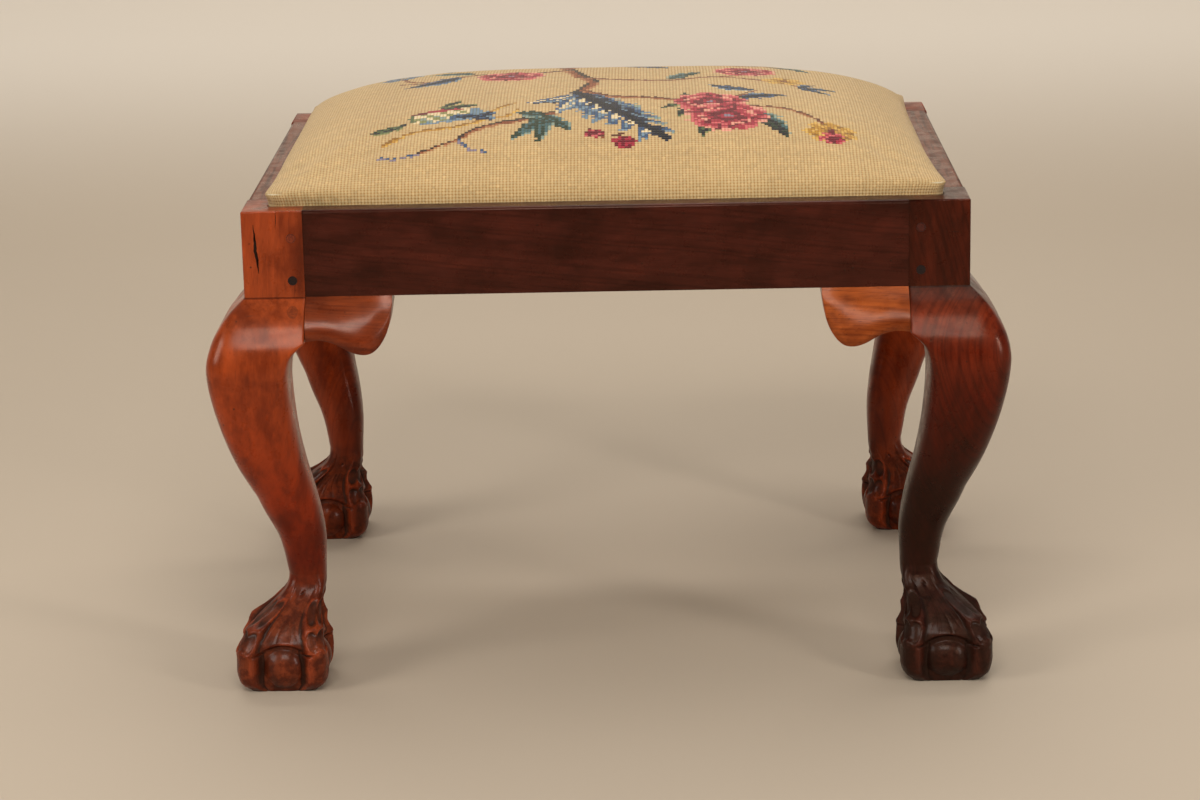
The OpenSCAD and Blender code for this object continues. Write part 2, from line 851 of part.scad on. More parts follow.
leg(front_left);  // leg_front_left
leg(front_right);  // leg_front_right
leg(back_left);  // leg_back_left
leg(back_right);  // leg_back_right
knee_block_long(front_left);  // knee_block_front_left_long
knee_block_long(front_right);  // knee_block_front_right_long
knee_block_long(back_left);  // knee_block_back_left_long
knee_block_long(back_right);  // knee_block_back_right_long
knee_block_short(front_left);  // knee_block_front_left_short
knee_block_short(front_right);  // knee_block_front_right_short
knee_block_short(back_left);  // knee_block_back_left_short
knee_block_short(back_right);  // knee_block_back_right_short
long_rail(-1);  // front_rail
long_rail(1);  // back_rail
short_rail(-1);  // left_rail
short_rail(1);  // right_rail
pegs(front_left);  // pegs_front_left
pegs(front_right);  // pegs_front_right
pegs(back_left);  // pegs_back_left
pegs(back_right);  // pegs_back_right
corner_block(front_left);  // corner_block_front_left
corner_block(front_right);  // corner_block_front_right
corner_block(back_left);  // corner_block_back_left
corner_block(back_right);  // corner_block_back_right
corner_block_screws();
long_member(-1);  // seat_frame_front
long_member(1);  // seat_frame_back
short_member(-1);  // seat_frame_left
short_member(1);  // seat_frame_right
seat_frame_dowels();
webbing_long();
webbing_cross();
webbing_tacks();
hessian();
stuffing_pad();
calico_lining();
needlepoint_cover();
cover_tacks();
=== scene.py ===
# %% [markdown]
# This lesson dresses a footstool: four cabriole legs with carved ball-and-claw
# feet, dark mahogany rails, and a seat worked in wool tent stitch that drops
# into the rails. The frame of the stool is already there as exact solids. Here
# each of them gets its finish, and those whose real surface is carved, stuffed
# or woven get a finer piece in the same place.
#
# Everything is in metres once it is in the scene. Sizes below are typed in
# millimetres, as a cabinetmaker would, and turned to metres in one place.

# %% Load the frame of the stool
import math

import bmesh
import bpy
import numpy as np
from mathutils import Matrix, Vector
from mathutils.kdtree import KDTree


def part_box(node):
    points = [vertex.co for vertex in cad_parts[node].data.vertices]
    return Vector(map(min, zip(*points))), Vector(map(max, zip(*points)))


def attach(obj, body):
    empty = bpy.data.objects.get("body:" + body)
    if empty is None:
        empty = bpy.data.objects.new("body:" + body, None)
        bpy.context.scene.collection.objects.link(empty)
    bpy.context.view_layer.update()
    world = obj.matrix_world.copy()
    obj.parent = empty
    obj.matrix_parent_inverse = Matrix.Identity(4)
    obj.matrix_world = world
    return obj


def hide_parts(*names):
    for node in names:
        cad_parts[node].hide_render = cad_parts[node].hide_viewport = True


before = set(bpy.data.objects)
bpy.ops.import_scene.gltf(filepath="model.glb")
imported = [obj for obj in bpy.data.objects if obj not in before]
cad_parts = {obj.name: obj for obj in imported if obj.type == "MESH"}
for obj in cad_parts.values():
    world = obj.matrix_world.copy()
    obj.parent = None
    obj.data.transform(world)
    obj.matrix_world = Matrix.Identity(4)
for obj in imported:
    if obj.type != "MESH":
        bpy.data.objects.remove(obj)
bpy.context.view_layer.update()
MM = 0.001

# %% [markdown]
# The corner posts set out the whole stool, so their sizes come first. The
# frame is asked for what it can say, and the joiner's other sizes are written
# down here. A corner is drawn once, in a frame of its own: u and v run inwards
# from the post's outer corner, along the long rail and along the short rail.

# %% Set out the corners
FRAME_W = 545
FRAME_D = 425
POST_W = 46
REBATE_H = 14
RAIL_SETBACK = 0.5
rail_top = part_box("front_rail")[1].z / MM
leg_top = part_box("front_rail")[0].z / MM
ledge_h = rail_top - REBATE_H
CORNERS = {
    "front_left": (-1, -1),
    "front_right": (1, -1),
    "back_left": (-1, 1),
    "back_right": (1, 1),
}


def to_stool(points, corner):
    """Points (u, v, z) of one corner, in millimetres, as places in the stool in metres."""
    side_x, side_y = CORNERS[corner]
    points = np.asarray(points, float)
    x = side_x * (FRAME_W / 2 - points[..., 0])
    y = side_y * (FRAME_D / 2 - points[..., 1])
    return np.stack([x, y, points[..., 2]], axis=-1) * MM


print(f"rails from {leg_top:.0f} to {rail_top:.0f} mm, seat ledge at {ledge_h:.0f} mm")

# %% [markdown]
# A few small helpers serve every piece. One makes a mesh object from arrays of
# points and faces. One closes a row of rings into a skin, the way a lofted leg
# is built. One reads a smooth curve through a short table of shares, because a
# sawn outline is a few chosen points with a fair curve through them. The last
# two are the shapes that carving is made of: a soft step and a soft ridge.

# %% Helpers for meshes and fair curves
COLLECTION = bpy.context.scene.collection


def new_object(name, data):
    """An object in the scene that shows a mesh, a lamp or a camera."""
    made = bpy.data.objects.new(name, data)
    COLLECTION.objects.link(made)
    return made


def face_outwards(mesh):
    """Turns every face of a closed mesh so that its front is outside."""
    bm = bmesh.new()
    bm.from_mesh(mesh)
    bmesh.ops.recalc_face_normals(bm, faces=bm.faces)
    bm.to_mesh(mesh)
    bm.free()


def new_piece(name, points, faces, body, smooth=True):
    """A mesh object from points in metres, which rides on a body of the frame."""
    mesh = bpy.data.meshes.new(name)
    mesh.from_pydata([tuple(p) for p in points], [], [tuple(f) for f in faces])
    mesh.validate()
    made = new_object(name, mesh)
    face_outwards(mesh)
    if smooth:
        mesh.shade_smooth()
    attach(made, body)
    return made


def ring_faces(rings, points):
    """Quads between neighbouring rings, each ring closed on itself."""
    here = np.arange(points)
    after = (here + 1) % points
    rows = (np.arange(rings - 1) * points)[:, None]
    quads = np.stack([rows + here, rows + after, rows + points + after, rows + points + here], axis=-1)
    return quads.reshape(-1, 4).tolist()


def end_fan(start, points, middle):
    """Triangles from one ring to a point in its middle."""
    return [(start + i, start + (i + 1) % points, middle) for i in range(points)]


def end_caps(points, total):
    """The first and the last ring as faces."""
    return [tuple(range(points)), tuple(range(total - points, total))]


def fair(rows, column, shares):
    """Column of a table read along a smooth curve; the first column is the share along it."""
    rows = np.asarray(rows, float)
    shares = np.asarray(shares, float)
    at, value = rows[:, 0], rows[:, column]
    slope = np.empty(len(at))
    slope[1:-1] = (value[2:] - value[:-2]) / (at[2:] - at[:-2])
    slope[0] = (value[1] - value[0]) / (at[1] - at[0])
    slope[-1] = (value[-1] - value[-2]) / (at[-1] - at[-2])
    i = np.clip(np.searchsorted(at, shares, side="left") - 1, 0, len(at) - 2)
    step = at[i + 1] - at[i]
    t = np.clip((shares - at[i]) / step, 0, 1)
    return (
        value[i] * (1 + 2 * t) * (1 - t) ** 2
        + slope[i] * step * t * (1 - t) ** 2
        + value[i + 1] * t * t * (3 - 2 * t)
        + slope[i + 1] * step * t * t * (t - 1)
    )


def smooth_step(low, high, value):
    """A soft step from 0 at low to 1 at high."""
    t = np.clip((value - low) / (high - low), 0, 1)
    return t * t * (3 - 2 * t)


def ridge(value, middle, width):
    """A soft ridge, 1 at its middle."""
    return np.exp(-(((value - middle) / width) ** 2))


print("a soft step is", smooth_step(0, 1, 0.25), "high a quarter of the way up")

# %% [markdown]
# The camera stands where the photographer stood: almost straight in front, at
# twice the seat's height and well back, with a long lens, so the sides of the
# stool hardly converge.

# %% Camera
PHOTO_W = 1200
SENSOR_W = 36
focal_pixels = 3257.3
camera_place = Vector((0.0297, -2.5939, 0.8631))
turn, tilt, roll = -0.0153, 0.2614, -0.0213

ahead = Vector((math.sin(turn) * math.cos(tilt), math.cos(turn) * math.cos(tilt), -math.sin(tilt)))
level = Vector((math.cos(turn), -math.sin(turn), 0))
upright = level.cross(ahead)
right = level * math.cos(roll) + upright * math.sin(roll)
up = upright * math.cos(roll) - level * math.sin(roll)

camera_data = bpy.data.cameras.new("camera")
camera_data.sensor_width = SENSOR_W
camera_data.lens = focal_pixels / PHOTO_W * SENSOR_W
camera = new_object("camera", camera_data)
pose = Matrix((right, up, -ahead)).transposed().to_4x4()
pose.translation = camera_place
camera.matrix_world = pose
bpy.context.scene.camera = camera
print(f"lens {camera_data.lens:.1f} mm, camera {camera_place.length:.2f} m away")

# %% [markdown]
# A leg is two sawn curves with rounded corners between them. Down the leg the
# outer face swells into the knee and runs in to the ankle, and the inner face
# is hollowed behind the knee. The tables give those curves in shares, the same
# that the frame's own legs follow. Each ring is a superellipse: its power says
# how square the section is, which changes from the crisp post to the round
# ankle, and differs between the outer corner and the others.

# %% Curves of the cabriole leg
KNEE_SWELL = 30
KNEE_HOLLOW = 14
ANKLE_H = 84
ANKLE_W = 29
ANKLE_INSET = 35
FOOT_INSET = 16.5
knee_line_share = 0.135
# share down the leg, outer face from knee (-1) to ankle (1), roundness
leg_outer_shares = [
    (0, 0, 0.06), (0.045, -0.37, 0.2), (0.09, -0.63, 0.3), (0.16, -0.9, 0.4), (0.245, -1, 0.48),
    (0.4, -0.83, 0.55), (0.58, -0.42, 0.6), (0.75, 0.19, 0.68), (0.87, 0.72, 0.75), (1, 1, 0.8),
]
# share down the leg, hollow behind the knee, way in to the ankle, roundness
leg_inner_shares = [
    (0.135, 0, 0, 0.04), (0.177, 0.67, 0, 0.14), (0.22, 0.93, 0.02, 0.26), (0.29, 1, 0.05, 0.4),
    (0.44, 0.86, 0.2, 0.58), (0.58, 0.57, 0.45, 0.65), (0.75, 0.1, 0.75, 0.7), (0.87, -0.08, 0.9, 0.75),
    (1, 0, 1, 0.8),
]
ankle_face = ANKLE_INSET - ANKLE_W / 2
ankle_back = ANKLE_INSET + ANKLE_W / 2


def leg_outer(share):
    """Outer face of the leg, in mm from the post's face, at a share down the leg."""
    value = fair(leg_outer_shares, 1, share)
    return value * np.where(value < 0, KNEE_SWELL, ankle_face)


def leg_inner(share):
    """Inner face of the leg, in mm from the post's outer face."""
    below = np.maximum(share, knee_line_share)
    hollow = KNEE_HOLLOW * fair(leg_inner_shares, 1, below)
    return POST_W - hollow + (ankle_back - POST_W) * fair(leg_inner_shares, 2, below)


RING_POINTS = 352
ring_angles = 2 * math.pi * np.arange(RING_POINTS) / RING_POINTS


def superellipse(half, power, angles):
    """Distance from the middle of a rounded square to its edge, at some angles."""
    c, s = np.abs(np.cos(angles)), np.abs(np.sin(angles))
    return half / (c**power + s**power) ** (1 / power)


def leg_ring(share):
    """One section of the leg: its middle, and its radius at every ring angle."""
    outer, inner = float(leg_outer(share)), float(leg_inner(share))
    half = (inner - outer) / 2
    below = max(share, knee_line_share)
    outer_round = float(fair(leg_outer_shares, 2, share))
    inner_round = float(fair(leg_inner_shares, 3, below))
    facing_out = (np.cos(ring_angles) < 0) & (np.sin(ring_angles) < 0)
    outer_radius = superellipse(half, 2 / outer_round, ring_angles)
    inner_radius = superellipse(half, 2 / inner_round, ring_angles)
    return outer + half, np.where(facing_out, outer_radius, inner_radius)


print(f"the knee reaches {leg_ring(knee_line_share)[1].max():.1f} mm from its middle")

# %% [markdown]
# The foot is the carver's showpiece: four claws grip a ball. It is carved from
# a square block, so the nails stand at the block's corners, flat on the two
# faces that meet there. Above them the toes run up the diagonals to the ankle,
# each with two oval flats between its knuckles, and a web of skin stretched
# between the toes ends in a thin arched edge over the ball.
#
# All of that can be said as one distance: how far the surface lies from the
# foot's axis, for every direction and height. Each part of the foot gives its
# own distance, the largest wins, as the carver leaves the outermost wood, and
# a light blur wears the edges. The difference between the surface and a broader
# blur says where the wood is hollow, which the finish later darkens with old wax
# and painted shade.

# %% Parts of the carved foot
NAIL_FACE = 15.8
BALL_R = 20
BALL_OUT = 35.6
BALL_H = 19.3
SOCKET = 28.4
ARCH_H = 38.2
ARCH_SPRING = 28
ARCH_HALF = 20.6
CUFF_H, CUFF_WAVE, CUFF_HALF_W = 33, 3.0, 7
CORNER_REACH = 48
# powers of the rounded squares: the higher, the squarer
TOE_POWER, NAIL_POWER, SOCKET_POWER = 4.6, 6.5, 7.0

# share of the ankle's height, shift from the foot's middle to the ankle's
shift_shares = [
    (0, 0), (0.42, 0), (0.46, 0.01), (0.51, 0.04), (0.57, 0.1), (0.63, 0.22), (0.71, 0.45), (0.8, 0.74),
    (0.9, 0.95), (1, 1),
]
# height share, half size in mm of the square that the nails stand in
nail_profile = [
    (0, 26), (0.02, 28.4), (0.045, 30.8), (0.08, 33.2), (0.13, 35), (0.2, 36), (0.3, 36), (0.38, 35.4),
    (0.46, 34), (1, 14),
]
# height share, half size in mm of the square that the toes stand in, width of a toe's face
toe_profile = [
    (0.3, 35.8, 13.5), (0.35, 36.4, 13.6), (0.385, 36.6, 13.4), (0.43, 35.6, 13), (0.5, 33, 12.6),
    (0.555, 31, 12.4), (0.585, 30.6, 12.4), (0.62, 28.4, 12), (0.7, 23.2, 10.8), (0.76, 19.6, 9.4),
    (0.82, 16.6, 8), (0.88, 15.2, 6.6), (1, 14.5, 6),
]
# height share, distance in mm of the web between two toes from the foot's axis
web_profile = [
    (0.3, 32), (0.4, 32.2), (0.46, 31), (0.51, 28.8), (0.57, 26), (0.63, 23.3), (0.71, 19.8), (0.8, 16.6),
    (0.9, 15), (1, 14.5),
]
# middle and half length of each flat in height shares, half width in mm
toe_flats = [(0.478, 0.094, 5.0), (0.694, 0.092, 4.3)]
# angle of each sinew's line from the middle of the web, and how deep it is cut
web_creases = [(-0.43, 0.7), (-0.15, 1.1), (0.12, 0.5), (0.24, 1.0), (0.45, 0.6)]


def from_side_middle(radius, angles):
    """How far a place on a square's edge lies from the middle of its side."""
    return radius * np.minimum(np.abs(np.cos(angles)), np.abs(np.sin(angles)))


def toe_place(along, k):
    """The toes' rounded square, a toe's width, and the way aside from the middle of its face."""
    half, width = fair(toe_profile, 1, k), fair(toe_profile, 2, k)
    radius = superellipse(half, TOE_POWER, along)
    middle_line = 0.93 * half - width / 2
    return radius, width, from_side_middle(radius, along) - middle_line


def flat_ovals(off, k):
    """For each of a toe's flats, how far a place lies from its middle; its rim is at 1."""
    return [np.sqrt((off / wide) ** 2 + ((k - middle) / reach) ** 2) for middle, reach, wide in toe_flats]


def toe_distance(along, k):
    """The four toes: a rounded square that only stands near its corners, with dished flats on each face."""
    radius, width, off = toe_place(along, k)
    body = radius - 0.5 * smooth_step(0.5, 1, np.abs(off) / (width / 2))
    for oval in flat_ovals(off, k):
        body = body - 1.5 * smooth_step(1.12, 0.82, oval) + 0.35 * ridge(oval, 1.18, 0.1)
    inner_edge = -width / 2
    return np.where(off > inner_edge - 1.2, body * smooth_step(inner_edge - 1.2, inner_edge + 0.9, off), 0)


def toe_marks(along, k):
    """Where the toes' flats get a painted dark reflection (below 0), and where their rims get wear and a
    painted highlight (above 0).
    """
    _, width, off = toe_place(along, k)
    marks = 0 * off
    for oval in flat_ovals(off, k):
        marks = marks - 0.62 * smooth_step(1.02, 0.86, oval) + 0.8 * ridge(oval, 1.13, 0.07)
    return marks * (off > -width / 2 - 0.6) * smooth_step(0.36, 0.38, k) * smooth_step(0.84, 0.8, k)


def web_distance(beside, k):
    """Skin between two toes. beside is the angle from the middle of the foot's side."""
    web = fair(web_profile, 1, k)
    run = np.clip((0.84 - k) / 0.38, 0, 1)
    body = web * (1 + 0.5 * (1 / np.cos(beside) - 1))
    place = beside * web
    for crease, strength in web_creases:
        line = crease * web * (0.12 + 0.88 * run)
        depth = 0.9 * strength * run * smooth_step(1.3, 0.35, run)
        body = body - depth * ridge(place, line, 0.75)
    hole = np.exp(-((place / 1.2) ** 2) - ((k - 0.835) * ANKLE_H / 1.3) ** 2)
    return body - 1.9 * hole


def cuff_share(across):
    """Height share of the wavy edge of skin over each nail, highest on the corner."""
    wave = np.clip(1 - (np.abs(np.tan(across)) * CORNER_REACH / CUFF_HALF_W) ** 2, -0.9, 1)
    return (CUFF_H + CUFF_WAVE * wave) / ANKLE_H


def nail_edge(half, k):
    """Where a nail's face ends, from the middle of the block's side."""
    return half - NAIL_FACE * (0.86 + 0.14 * smooth_step(0, 0.3, k))


def nail_distance(across, along, k):
    """The nail at the block's corner, with flat faces along the block's sides."""
    half = fair(nail_profile, 1, k)
    radius = superellipse(half, NAIL_POWER, along)
    face = from_side_middle(radius, along)
    edge = nail_edge(half, k)
    dish = smooth_step(edge + 1.5, edge + 3.5, face) * smooth_step(half - 1.5, half - 4.5, face)
    dish = dish * smooth_step(0.08, 0.14, k) * smooth_step(0.36, 0.32, k)
    side = smooth_step(edge - 1.5, edge + 0.9, face)
    cuff = cuff_share(across)
    below = smooth_step(cuff + 0.014, cuff - 0.01, k)
    return (radius - 0.5 * dish) * side * below


def groove(beside, k):
    """Dark line cut beside each nail, in mm deep."""
    half = fair(nail_profile, 1, k)
    place = np.abs(SOCKET * np.tan(beside))
    return 1.1 * ridge(place - nail_edge(half, k) * SOCKET / half, -1.0, 0.9) * smooth_step(0.44, 0.38, k)


def ball_distance(beside, h, ball_r):
    """One side of the ball: a sphere pushed out between two claws."""
    centre = BALL_OUT - ball_r
    under = ball_r**2 - ((h - BALL_H) * ball_r / BALL_R) ** 2 - (centre * np.sin(beside)) ** 2
    return np.where(under > 0, centre * np.cos(beside) + np.sqrt(np.maximum(under, 0)), 0)


print(f"the ball reaches {float(ball_distance(0, BALL_H, BALL_R)):.1f} mm out between two claws")

# %% [markdown]
# Now the parts are put together on a grid of directions and heights. Each foot
# was carved by eye, so its ball has a size and a turn of its own, and soft
# waves a third of a millimetre high run over it, as a gouge leaves them.

# %% Blur and sculpt the foot's surface
def blur(surface, across, along):
    """Soft blur of a grid whose columns close on themselves. across and along are radii in cells."""
    for axis, radius in ((1, across), (0, along)):
        reach = max(int(3 * radius), 1)
        weights = np.exp(-0.5 * (np.arange(-reach, reach + 1) / radius) ** 2)
        weights /= weights.sum()
        mode = "wrap" if axis == 1 else "edge"
        pad = [(0, 0), (0, 0)]
        pad[axis] = (reach, reach)
        wide = np.pad(surface, pad, mode=mode)
        size = surface.shape[axis]
        surface = sum(w * np.take(wide, range(i, i + size), axis=axis) for i, w in enumerate(weights))
    return surface


def wobble(seed, rows, columns, cells_up, cells_round):
    """Soft random waves over a grid, for the unevenness of hand work. From -1 to 1."""
    rng = np.random.default_rng(seed)
    coarse = rng.uniform(-1, 1, (cells_up + 3, cells_round))
    up = np.linspace(0, cells_up, rows)
    round_it = np.arange(columns) * cells_round / columns
    i, j = up.astype(int), round_it.astype(int)
    a, b = smooth_step(0, 1, up - i)[:, None], smooth_step(0, 1, round_it - j)[None, :]
    next_j = (j + 1) % cells_round
    this_side = coarse[np.ix_(i, j)] * (1 - a) + coarse[np.ix_(i + 1, j)] * a
    that_side = coarse[np.ix_(i, next_j)] * (1 - a) + coarse[np.ix_(i + 1, next_j)] * a
    return this_side * (1 - b) + that_side * b


FOOT_RINGS = 112
foot_heights = ANKLE_H * np.linspace(0, 1, FOOT_RINGS + 1)[:-1]
# each foot's ball: its radius, and its turn from the middle between the claws
ball_of_foot = {1: (20, 0.09), 2: (24, -0.02), 3: (20.5, 0.03), 4: (21.5, -0.03)}


def socket_and_arch(beside, h, k, ball_turn):
    """The wood behind the ball, and where the web's arched edge hides it (1) or leaves it open (0)."""
    socket = superellipse(SOCKET, SOCKET_POWER, ring_angles[None, :])
    socket = socket * (0.93 + 0.07 * smooth_step(0, 0.08, k)) - groove(beside, k)
    face_place = SOCKET * np.tan(beside - 0.4 * ball_turn)
    arch = ARCH_SPRING + (ARCH_H - ARCH_SPRING) * np.clip(1 - (face_place / ARCH_HALF) ** 2, 0, 1) ** 0.85
    return socket, smooth_step(arch - 0.7, arch + 0.6, h)


def sculpt_foot(seed):
    """The foot's rings: their middles, its surface's distance from them, and its marks: painted dark
    reflection in the flats, wear and painted highlight on the rims and cuffs.
    """
    h = foot_heights[:, None]
    k = h / ANKLE_H
    along = ring_angles[None, :]
    across = (along % (math.pi / 2)) - math.pi / 4
    beside = ((along + math.pi / 4) % (math.pi / 2)) - math.pi / 4
    ball_r, ball_turn = ball_of_foot[seed]
    socket, above = socket_and_arch(beside, h, k, ball_turn)
    toes = toe_distance(along, k)
    skin = np.maximum(web_distance(beside, k), toes)
    upper = socket + (skin - socket) * above
    toes = toes * smooth_step(0.35, 0.372, k)
    nails = nail_distance(across, along, k)
    ball = ball_distance(beside - ball_turn, h, ball_r)
    surface = np.maximum.reduce([upper, toes, nails, ball])
    # A bright line along each cuff near the corner: wear, with a painted highlight.
    cuff_line = ridge((k - cuff_share(across)) * ANKLE_H, 1.2, 0.9)
    near_corner = smooth_step(0.36, 0.26, np.abs(across))
    marks = toe_marks(along, k) * (toes > surface - 0.2) + 0.9 * cuff_line * near_corner
    _, ankle = leg_ring(1.0)
    to_ankle = smooth_step(0.86, 1.0, k)
    surface = surface * (1 - to_ankle) + ankle[None, :] * to_ankle
    surface = surface + 0.3 * wobble(seed, FOOT_RINGS, RING_POINTS, 11, 26) * (1 - to_ankle)
    middles = FOOT_INSET + fair(shift_shares, 1, foot_heights / ANKLE_H) * (ANKLE_INSET - FOOT_INSET)
    return middles, blur(surface, 0.75, 0.6), blur(marks, 0.8, 0.6)


trial_foot = sculpt_foot(1)[1]
print("foot grid", trial_foot.shape, "widest at", round(float(trial_foot.max()), 1), "mm from its axis")

# %% [markdown]
# Foot and leg are one piece of wood, so they are one skin. The rings of the
# foot come first, then those of the leg, then one ring sunk into the post. How
# far the foot's surface lies below its surroundings is kept with the mesh: the
# finish darkens the hollows with old wax and painted shade, and brightens the
# rest with wear and a painted highlight.

# %% Loft a leg with its foot
POST_SINK = 4
leg_shares = np.concatenate([np.linspace(1, 0.2, 50)[:-1], np.linspace(0.2, 0, 35)])


def grid_points(middles, surface, heights):
    """Ring points (u, v, z) from middles, distances and heights."""
    u = middles[:, None] + surface * np.cos(ring_angles)
    v = middles[:, None] + surface * np.sin(ring_angles)
    return np.stack([u, v, np.repeat(heights[:, None], RING_POINTS, axis=1)], axis=-1)


def hollowness(surface):
    """How far each point lies below (negative) or above (positive) its surroundings, from -1 to 1."""
    return np.clip((surface - blur(surface, 3.2, 2.8)) / 1.3, -1, 1)


def cabriole(name, corner, seed):
    """A carved leg below its post, with its hollows and crests in an attribute, relief, which the finish
    paints as wax, wear, painted shade and painted highlight.
    """
    middles, surface, marks = sculpt_foot(seed)
    sections = [leg_ring(float(s)) for s in leg_shares]
    leg_middles = np.array([middle for middle, _ in sections])
    leg_surface = np.array([radius for _, radius in sections])
    heights = leg_top - leg_shares * (leg_top - ANKLE_H)
    hand_work = 0.3 * wobble(seed + 10, len(leg_shares), RING_POINTS, 9, 8)
    fade = smooth_step(1, 0.9, leg_shares) * smooth_step(0.02, 0.15, leg_shares)
    leg_surface = leg_surface + hand_work * fade[:, None]
    rings = np.concatenate([
        grid_points(middles, surface, foot_heights),
        grid_points(leg_middles, leg_surface, heights),
    ])
    sunk = rings[-1].copy()
    sunk[:, :2] = POST_W / 2 + (sunk[:, :2] - POST_W / 2) * 0.9
    sunk[:, 2] = leg_top + POST_SINK
    rings = np.concatenate([rings, sunk[None]])
    points = rings.reshape(-1, 3)
    count = len(points)
    middle_low, middle_high = rings[0].mean(axis=0), rings[-1].mean(axis=0)
    points = np.concatenate([points, [middle_low, middle_high]])
    faces = ring_faces(len(rings), RING_POINTS)
    faces += [tuple(reversed(f)) for f in end_fan(0, RING_POINTS, count)]
    faces += end_fan(count - RING_POINTS, RING_POINTS, count + 1)
    made = new_piece(name, to_stool(points, corner), faces, "stool_frame")
    # Below 0 the finish darkens the hollows with old wax and painted shade; above 0 it brightens the crests
    # with wear and a painted highlight.
    relief = np.zeros(len(points), np.float32)
    relief[: surface.size] = np.clip(hollowness(surface) + marks, -1, 1).ravel()
    attribute = made.data.attributes.new("relief", "FLOAT", "POINT")
    attribute.data.foreach_set("value", relief)
    return made


# %% [markdown]
# Above the knee each leg is a square post with mortises, peg holes and a
# rebate. The frame already has all of those, so the post is taken from it and
# joined to the carved leg. Its outer edges are worn round, and the front left
# post has two drying cracks. Joining keeps the large flat faces whole, which
# lets them shade flat beside the rounded edges. The leg's volume is printed,
# because a piece turned inside out would show there first.

# %% Posts from the frame
WELD = 0.002 * MM
EDGE_WEAR = 1.5
SKIN = 0.02
# places (u, z) down each crack in the front left post's face, its width and its depth
CRACKS = [
    ([(9.0, 366), (10.2, 353), (10.0, 346), (11.2, 338), (11.8, 328.5)], 2.6, 6),
    ([(26.4, 376.5), (26.2, 370), (25.6, 362)], 0.6, 3),
]


def clean_copy(node, name):
    """A copy of one of the frame's solids whose split corners are welded."""
    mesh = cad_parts[node].data.copy()
    mesh.name = name
    made = new_object(name, mesh)
    bm = bmesh.new()
    bm.from_mesh(mesh)
    bmesh.ops.remove_doubles(bm, verts=bm.verts, dist=WELD)
    bm.to_mesh(mesh)
    bm.free()
    return made


def worn_block(name, corner):
    """A block round the post whose outer edges are worn round. What it shares with the post is kept."""
    far = POST_W + 2
    ring = []
    for t in np.linspace(0, math.pi / 2, 7):
        ring.append((EDGE_WEAR - EDGE_WEAR * math.sin(t) + SKIN, EDGE_WEAR - EDGE_WEAR * math.cos(t) + SKIN))
    ring = np.array(ring + [(SKIN, far), (far, far), (far, SKIN)])
    levels = [(leg_top + 0.05, 0), (rail_top - EDGE_WEAR - 0.1, 0)]
    for t in np.linspace(0, math.pi / 2, 6)[1:]:
        levels.append((rail_top - EDGE_WEAR * (1 - math.sin(t)) - SKIN, EDGE_WEAR * (1 - math.cos(t))))
    count = len(ring)
    rows = [np.column_stack([np.maximum(ring, inset + SKIN), np.full(count, z)]) for z, inset in levels]
    points = np.concatenate(rows)
    low, high = end_caps(count, len(points))
    faces = ring_faces(len(rows), count) + [low[::-1], high]
    return new_piece(name, to_stool(points, corner), faces, "stool_frame", smooth=False)


def crack_cutter(places, width, depth, corner):
    """A wedge that opens a crack in a post's front face, along places (u, z)."""
    places = np.array(places, float)
    share = np.linspace(0, 1, 15)
    rows = np.linspace(0, 1, len(places))
    u, z = np.interp(share, rows, places[:, 0]), np.interp(share, rows, places[:, 1])
    half = 0.5 * width * np.sin(np.pi * np.clip(share, 0.03, 0.97)) ** 0.8
    rng = np.random.default_rng(4)
    u = u + rng.uniform(-0.25, 0.25, len(u))
    ring = [
        np.stack([u - half, np.full_like(u, -0.5), z], axis=-1),
        np.stack([u + half, np.full_like(u, -0.5), z], axis=-1),
        np.stack([u + 0.2 * half, np.full_like(u, depth), z], axis=-1),
    ]
    points = np.stack(ring, axis=1).reshape(-1, 3)
    faces = ring_faces(len(share), 3) + [(2, 1, 0), (len(points) - 3, len(points) - 2, len(points) - 1)]
    mesh = bpy.data.meshes.new("crack")
    mesh.from_pydata([tuple(p) for p in to_stool(points, corner)], [], faces)
    # The crack's inner faces are marked, so that the finish paints shade into them.
    dark = mesh.attributes.new("crack", "FLOAT", "FACE")
    dark.data.foreach_set("value", np.ones(len(faces), np.float32))
    face_outwards(mesh)
    return new_object("crack", mesh)


def evaluated(made):
    """An object as its modifiers leave it."""
    return made.evaluated_get(bpy.context.evaluated_depsgraph_get())


def combine(target, other, operation):
    """Joins other to target, or cuts it out, and removes other."""
    step = target.modifiers.new(operation.lower(), "BOOLEAN")
    step.operation = operation
    step.solver = "MANIFOLD"
    step.object = other
    bpy.context.view_layer.update()
    made = bpy.data.meshes.new_from_object(evaluated(target))
    target.modifiers.clear()
    target.data = made
    bpy.data.objects.remove(other)


def volume_of(mesh):
    """Volume of a closed mesh in cm3, below zero if it is inside out."""
    bm = bmesh.new()
    bm.from_mesh(mesh)
    volume = bm.calc_volume(signed=True)
    bm.free()
    return round(volume * 1e6)


print("a leg of the frame:", volume_of(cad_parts["leg_front_left"].data), "cm3")

# %% [markdown]
# The four legs are made one after the other, each with waves of its own. The
# front left leg is of the redder mahogany, the front right of the darker, and
# the back legs of a brown between them.


